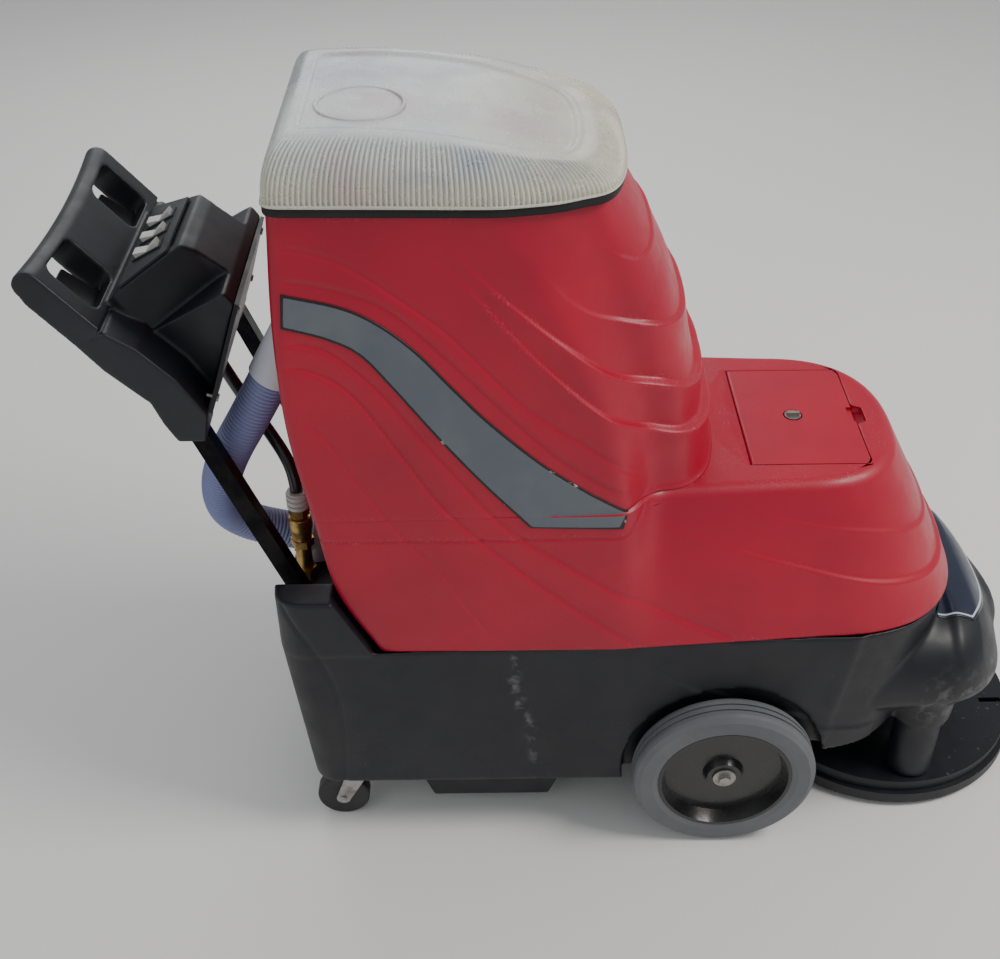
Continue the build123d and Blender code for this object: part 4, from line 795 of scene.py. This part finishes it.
def soften(piece, weights, rounds):
    """More smoothing where the weights are high."""
    group = piece.vertex_groups.new(name="soft")
    for level in np.unique(np.round(weights[weights > 0.02], 1)):
        chosen = np.nonzero(np.round(weights, 1) == level)[0]
        group.add(chosen.tolist(), float(level), "REPLACE")
    smooth = piece.modifiers.new("soften", "SMOOTH")
    smooth.vertex_group = group.name
    smooth.iterations = rounds
    smooth.factor = 0.5
    bake_modifiers(piece)


SHOULDER_Z = (160.0, 215.0, 306.0)  # underside, widest and top of the shoulders over the legs
SHOULDER = (352, 214, 470, 205, 603)  # rear x, its half width, side corner (x, half width), front x
# Point their top shrinks towards, share of the width left there, and inset of the underside
SHOULDER_MIDDLE, SHOULDER_TOP, SHOULDER_TUCK = (440.0, 0.0), 0.62, 40.0


def shoulder_block():
    """Bulk between the sides of the base and its nose, rounded over at the top."""
    plan = outline(SHOULDER, 14.0)
    low, wide, high = SHOULDER_Z
    middle = np.array(SHOULDER_MIDDLE)
    rings = []
    for z in np.linspace(low, wide, 8):
        tuck = SHOULDER_TUCK * (1 - ease((z - low) / (wide - low)))
        rings.append(at_height(inset(plan, tuck), z))
    for turn in np.radians(np.linspace(6, 90, 14)):
        over = middle + (plan - middle) * (SHOULDER_TOP + (1 - SHOULDER_TOP) * math.cos(turn))
        rings.append(at_height(over, wide + (high - wide) * math.sin(turn)))
    return stack_rings("shoulder_block", rings)


def build_base():
    piece = soft_skin("base_housing", "base_shell", BASE_VOXEL, 7, [shoulder_block()])
    points = vertex_places(piece.data)
    soften(piece, ease((points[:, 0] - 395) / 40) * ease((points[:, 2] - 60) / 20), 40)
    points = vertex_places(piece.data)
    normals = vertex_normals(piece.data)
    x, y, z = points.T
    outside = (np.abs(y) > 205) * ease((np.abs(normals[:, 1]) - 0.4) / 0.3)
    outside = outside * (np.sign(normals[:, 1]) == np.sign(y))
    move = np.zeros(len(points))
    for curve, depth in BASE_CREASES:
        table = [(zz, xx) for xx, zz in reversed(curve)]
        move -= depth * gauss(x - smooth_through(table, z), 2.6) * (z < 436)
    for curve, height in BASE_LEDGES:
        below = smooth_through(curve, x) - z
        lip = ease(below / 5) * np.exp(-np.maximum(below, 0) / 40)
        move += height * lip * ease((x - 60) / 40) * (x < 470)
    points += normals * (move * outside)[:, None]
    # The nose slopes down to the front
    raised = np.interp(x, *zip(*NOSE_SLOPE))
    points[:, 2] += raised * ease((x - 490) / 20) * ease((z - 195) / 60)
    set_vertices(piece.data, points)
    worn = gauss(x - smooth_through([(zz, xx) for xx, zz in reversed(BASE_CREASES[1][0])], z), 6)
    low_shoulder = gauss(z - 205, 26) * ease((x - 440) / 30) * (np.abs(y) > 120)
    add_attribute(piece, "scuff", np.maximum(worn * outside, low_shoulder))
    paint_piece(piece, "base")
    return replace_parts(piece, "base_housing")


# ------------------------------------------------------------------ handle
GRIP = (-640.0, 876.0)  # x and z of the grip bar's top
HANDLE_SLOPE = math.radians(50)
GRIP_HW, GRIP_BOW, GRIP_REACH = 176.0, 9.0, 46.0
PANEL_LOW, PANEL_WAY = (-576.0, 820.0), (0.8779, 0.4788)  # lower edge of the switch panel and its slope
SWITCHES_HW, ROCKER_ROOM = 60.0, 1.4
PANEL_MIDDLE, PANEL_HALF = (37.0, -5.0), (36.0, 9.0)  # reach of that room, up the panel and out of it
RAIL_FILLS = [(-594, 791, 15), (-580, 780, 13)]  # x, z and radius
RAIL_IN = 112.0  # their inner end


def rail_fill(side, x, z, radius):
    """Round bar that closes the notch between the grip frame and the side rail."""
    turn = np.linspace(0, 2 * math.pi, 40, endpoint=False)
    across, up = x + radius * np.cos(turn), z + radius * np.sin(turn)
    rings = []
    for y in np.linspace(RAIL_IN, GRIP_HW - 3, 6):
        rings.append(np.column_stack([across, np.full(len(turn), side * y), up]))
    return stack_rings("rail_fill", rings)


def build_handle():
    fills = [rail_fill(side, *spot) for side in (-1, 1) for spot in RAIL_FILLS]
    piece = soft_skin("handle_shell", "handle_body", HANDLE_VOXEL, 16, fills)
    points = vertex_places(piece.data)
    slope_x, slope_z = math.cos(HANDLE_SLOPE), math.sin(HANDLE_SLOPE)
    down = (points[:, 0] - GRIP[0]) * slope_x - (points[:, 2] - GRIP[1]) * slope_z
    bow = GRIP_BOW * (1 - (points[:, 1] / GRIP_HW) ** 2) * (1 - ease((down + 6) / GRIP_REACH))
    points[:, 0] += bow * slope_x
    points[:, 2] -= bow * slope_z
    # Room under the rocker switches
    x, z = points[:, 0] - PANEL_LOW[0], points[:, 2] - PANEL_LOW[1]
    up_panel, out_of_panel = x * PANEL_WAY[0] + z * PANEL_WAY[1], z * PANEL_WAY[0] - x * PANEL_WAY[1]
    under = np.abs(points[:, 1]) < SWITCHES_HW
    under &= np.abs(up_panel - PANEL_MIDDLE[0]) < PANEL_HALF[0]
    under &= np.abs(out_of_panel - PANEL_MIDDLE[1]) < PANEL_HALF[1]
    points[under, 0] += ROCKER_ROOM * PANEL_WAY[1]
    points[under, 2] -= ROCKER_ROOM * PANEL_WAY[0]
    set_vertices(piece.data, points)
    paint_piece(piece, "handle")
    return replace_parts(piece, "handle_shell")


# ------------------------------------------------------------------ hoses
VAC_ROUTE = [
    (-0.408, -0.105, 0.699), (-0.440, -0.105, 0.641), (-0.474, -0.100, 0.583), (-0.497, -0.086, 0.525),
    (-0.500, -0.068, 0.466), (-0.474, -0.053, 0.430), (-0.438, -0.041, 0.409), (-0.402, -0.030, 0.392),
]
SOLUTION_ROUTE = [
    (-0.488, -0.025, 0.676), (-0.472, -0.028, 0.640), (-0.452, -0.037, 0.608), (-0.429, -0.052, 0.577),
    (-0.409, -0.070, 0.552), (-0.400, -0.079, 0.528), (-0.399, -0.080, 0.503),
]
VAC_HOSE_R, RIB_PITCH, RIB_DEPTH = 0.026, 0.0055, 0.0016
SOLUTION_HOSE_R = 0.0085


def route_curve(name, route, resolution):
    curve = bpy.data.curves.new(name, "CURVE")
    curve.dimensions = "3D"
    spline = curve.splines.new("NURBS")
    spline.points.add(len(route) - 1)
    for point, place in zip(spline.points, route):
        point.co = (*place, 1)
    spline.order_u = 3
    spline.use_endpoint_u = True
    spline.resolution_u = resolution
    piece = bpy.data.objects.new(name, curve)
    bpy.context.scene.collection.objects.link(piece)
    return piece


def spline_points(route, step):
    """Evenly spaced points along the route's smooth spline."""
    guide = route_curve("guide", route, 64)
    mesh = bpy.data.meshes.new_from_object(guide)
    path = np.array([v.co for v in mesh.vertices])
    bpy.data.objects.remove(guide)
    way = np.concatenate([[0], np.cumsum(np.linalg.norm(np.diff(path, axis=0), axis=1))])
    spots = np.linspace(0, way[-1], int(way[-1] / step) + 1)
    return np.stack([np.interp(spots, way, path[:, k]) for k in range(3)], 1), way[-1]


def build_vacuum_hose():
    """Corrugated hose: one ring of the wall per point along the route."""
    path, length = spline_points(VAC_ROUTE, RIB_PITCH / 8)
    tangent = np.gradient(path, axis=0)
    tangent /= np.linalg.norm(tangent, axis=1)[:, None]
    side = np.cross(tangent, (0, 1, 0.2))
    side /= np.linalg.norm(side, axis=1)[:, None]
    up = np.cross(side, tangent)
    turn = np.linspace(0, 2 * math.pi, 64, endpoint=False)
    rings = []
    for k, centre in enumerate(path):
        phase = (k * length / (len(path) - 1) / RIB_PITCH) % 1
        radius = VAC_HOSE_R - RIB_DEPTH * (0.5 - 0.5 * math.cos(2 * math.pi * phase)) ** 1.6
        ring = centre + radius * (np.cos(turn)[:, None] * side[k] + np.sin(turn)[:, None] * up[k])
        rings.append(ring / MM)
    piece = stack_rings("corrugated_hose", rings)
    paint_piece(piece, "hose")
    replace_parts(piece, "vacuum_hose")
    return piece


def build_solution_hose():
    piece = route_curve("solution_hose_tube", SOLUTION_ROUTE, 24)
    piece.data.bevel_depth = SOLUTION_HOSE_R
    piece.data.bevel_resolution = 8
    piece.data.use_fill_caps = True
    piece.data.materials.append(MATERIALS["sol_hose"])
    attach(piece, "machine")
    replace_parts(piece, "solution_hose")
    return piece


# ------------------------------------------------------------------ nose plate
PLATE_HW, PLATE_REAR_X, PLATE_FRONT_X, PLATE_BOW = 132.0, 480.0, 577.0, 46.0
PLATE_LINE = (4.0, 6.4)  # the pale line, in from the edge
PLATE_STAND, PLATE_T = 0.5, 1.2  # height over the nose, and thickness


def build_nose_plate(base):
    """Dark plate on the nose's sloping top, with a thin pale line round it."""
    paint = moulded("nose_plate", (0.006, 0.012, 0.035), (0.010, 0.018, 0.045), 0.3, coat=0.25)
    border = paint.attribute("border")
    line = paint.math("MULTIPLY", paint.ramp(border, PLATE_LINE[0] - 0.4, PLATE_LINE[0]),
                      paint.ramp(border, PLATE_LINE[1], PLATE_LINE[1] + 0.4, 1, 0))
    paint.tint((0.60, 0.64, 0.72), line)
    columns, rows = 130, 50
    mesh = base.data
    surface = BVHTree.FromPolygons([v.co for v in mesh.vertices], [p.vertices for p in mesh.polygons])
    points, border = [], []
    for k in range(rows + 1):
        for i in range(columns + 1):
            y = PLATE_HW * (2 * i / columns - 1)
            front = PLATE_FRONT_X - PLATE_BOW * abs(y / PLATE_HW) ** 2.2
            x = PLATE_REAR_X + (front - PLATE_REAR_X) * k / rows
            hit = surface.ray_cast(Vector((x, y, DECK_Z + 40)) * MM, (0, 0, -1))[0]
            points.append((x, y, hit.z / MM + PLATE_STAND))
            border.append(min(front - x, PLATE_HW - abs(y)))
    piece = grid_object("nose_plate", points, columns, rows)
    add_attribute(piece, "border", border)
    piece.data.materials.append(paint.material)
    thicken(piece, PLATE_T)
    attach(piece, "machine")
    return piece


# ------------------------------------------------------------------ carried-over CAD nodes
FINISHES = {
    "red": ["deck_hatch"],
    "base": ["belly_pan", "head_cover", "vacuum_motor", "motor_mount", "spindle_housing"],
    "handle": ["handle_cover"],
    "gasket": ["cable_gland"],
    "tyre": ["left_tyre", "right_tyre"],
    "hub": ["left_hub", "right_hub", "driven_pulley", "motor_pulley", "vacuum_fan"],
    "zinc": ["hatch_knob", "axle_bolts", "cover_screws", "caster_mounts", "hatch_pin"],
    "steel": ["spindle", "spindle_bearings", "main_axle", "trigger_pin", "motor_shaft"],
    "fork": ["left_caster_fork", "right_caster_fork"],
    "caster": ["left_caster_wheel", "right_caster_wheel"],
    "tube": ["handle_tubes"],
    "white": ["left_rocker", "middle_rocker", "right_rocker", "standpipe", "float_cage", "float_ball"],
    "panel": ["switch_panel"],
    "trigger": ["left_trigger", "right_trigger"],
    "cuff": ["upper_hose_cuff", "lower_hose_cuff"],
    "fitting": ["hose_fitting"],
    "brass": ["brass_nipple", "brass_coupler", "coupling_sleeve"],
    "skirt": ["splash_skirt", "rotor_plate"],
    "bristle": ["rotor_brushes"],
    "motor": ["drive_motor", "solution_pump"],
    "belt": ["drive_belt"],
    "strainer": ["fill_strainer"],
}


def finish_nodes():
    for key, names in FINISHES.items():
        for name in names:
            mesh = NODES[name].data
            mesh.materials.clear()
            mesh.materials.append(MATERIALS[key])


# ------------------------------------------------------------------ camera, floor and light
CAMERA_PLACE = (-0.136, -1.494, 1.5765)
CAMERA_PITCH, CAMERA_YAW, CAMERA_ROLL = 36.85, 0.33, -0.51


def build_camera():
    camera = bpy.data.objects.new("camera", bpy.data.cameras.new("camera"))
    bpy.context.scene.collection.objects.link(camera)
    camera.data.lens = 48.0
    pitch, yaw, roll = (math.radians(a) for a in (CAMERA_PITCH, CAMERA_YAW, CAMERA_ROLL))
    ahead = Vector((math.sin(yaw) * math.cos(pitch), math.cos(yaw) * math.cos(pitch), -math.sin(pitch)))
    right = Vector((math.cos(yaw), -math.sin(yaw), 0))
    up = right.cross(ahead)
    turned_right = right * math.cos(roll) + up * math.sin(roll)
    turned_up = up * math.cos(roll) - right * math.sin(roll)
    facing = Matrix((turned_right, turned_up, -ahead)).transposed().to_4x4()
    camera.matrix_world = Matrix.Translation(CAMERA_PLACE) @ facing
    bpy.context.scene.camera = camera


def build_floor():
    mesh = bpy.data.meshes.new("floor")
    mesh.from_pydata([(-9, -9, 0), (9, -9, 0), (9, 9, 0), (-9, 9, 0)], [], [(0, 1, 2, 3)])
    floor = bpy.data.objects.new("floor", mesh)
    bpy.context.scene.collection.objects.link(floor)
    mesh.materials.append(Paint("floor_paint", (0.90, 0.89, 0.87), 0.85).material)


def area_light(name, place, aim, size, power, colour=(1, 1, 1)):
    light = bpy.data.objects.new(name, bpy.data.lights.new(name, "AREA"))
    bpy.context.scene.collection.objects.link(light)
    light.data.size, light.data.energy, light.data.color = size, power, colour
    light.location = place
    light.rotation_euler = (Vector(aim) - Vector(place)).to_track_quat("-Z", "Y").to_euler()


def build_light():
    area_light("key_light", (2.3, -0.6, 3.0), (0.1, 0, 0.5), 1.3, 74, (1.0, 0.97, 0.93))
    area_light("fill_light", (-2.6, -2.4, 2.2), (-0.2, 0, 0.5), 2.6, 15, (0.93, 0.96, 1.0))
    area_light("back_light", (-0.6, 2.6, 2.4), (0, 0, 0.6), 2.4, 30)
    world = bpy.data.worlds.new("studio")
    bpy.context.scene.world = world
    world.use_nodes = True
    world.node_tree.nodes["Background"].inputs["Color"].default_value = (0.95, 0.97, 1.0, 1)
    world.node_tree.nodes["Background"].inputs["Strength"].default_value = 0.42


build_camera()
build_vacuum_hose()
build_solution_hose()
build_solution_tank()
build_recovery_tank()
band_material, walls = band_paint(), wall_table()
for side, name in ((-1, "right_band"), (1, "left_band")):
    build_band(side, name, band_material, walls)
build_gasket()
build_dome()
build_dome_ring()
base_shell = build_base()
build_handle()
build_nose_plate(base_shell)
finish_nodes()
build_floor()
build_light()
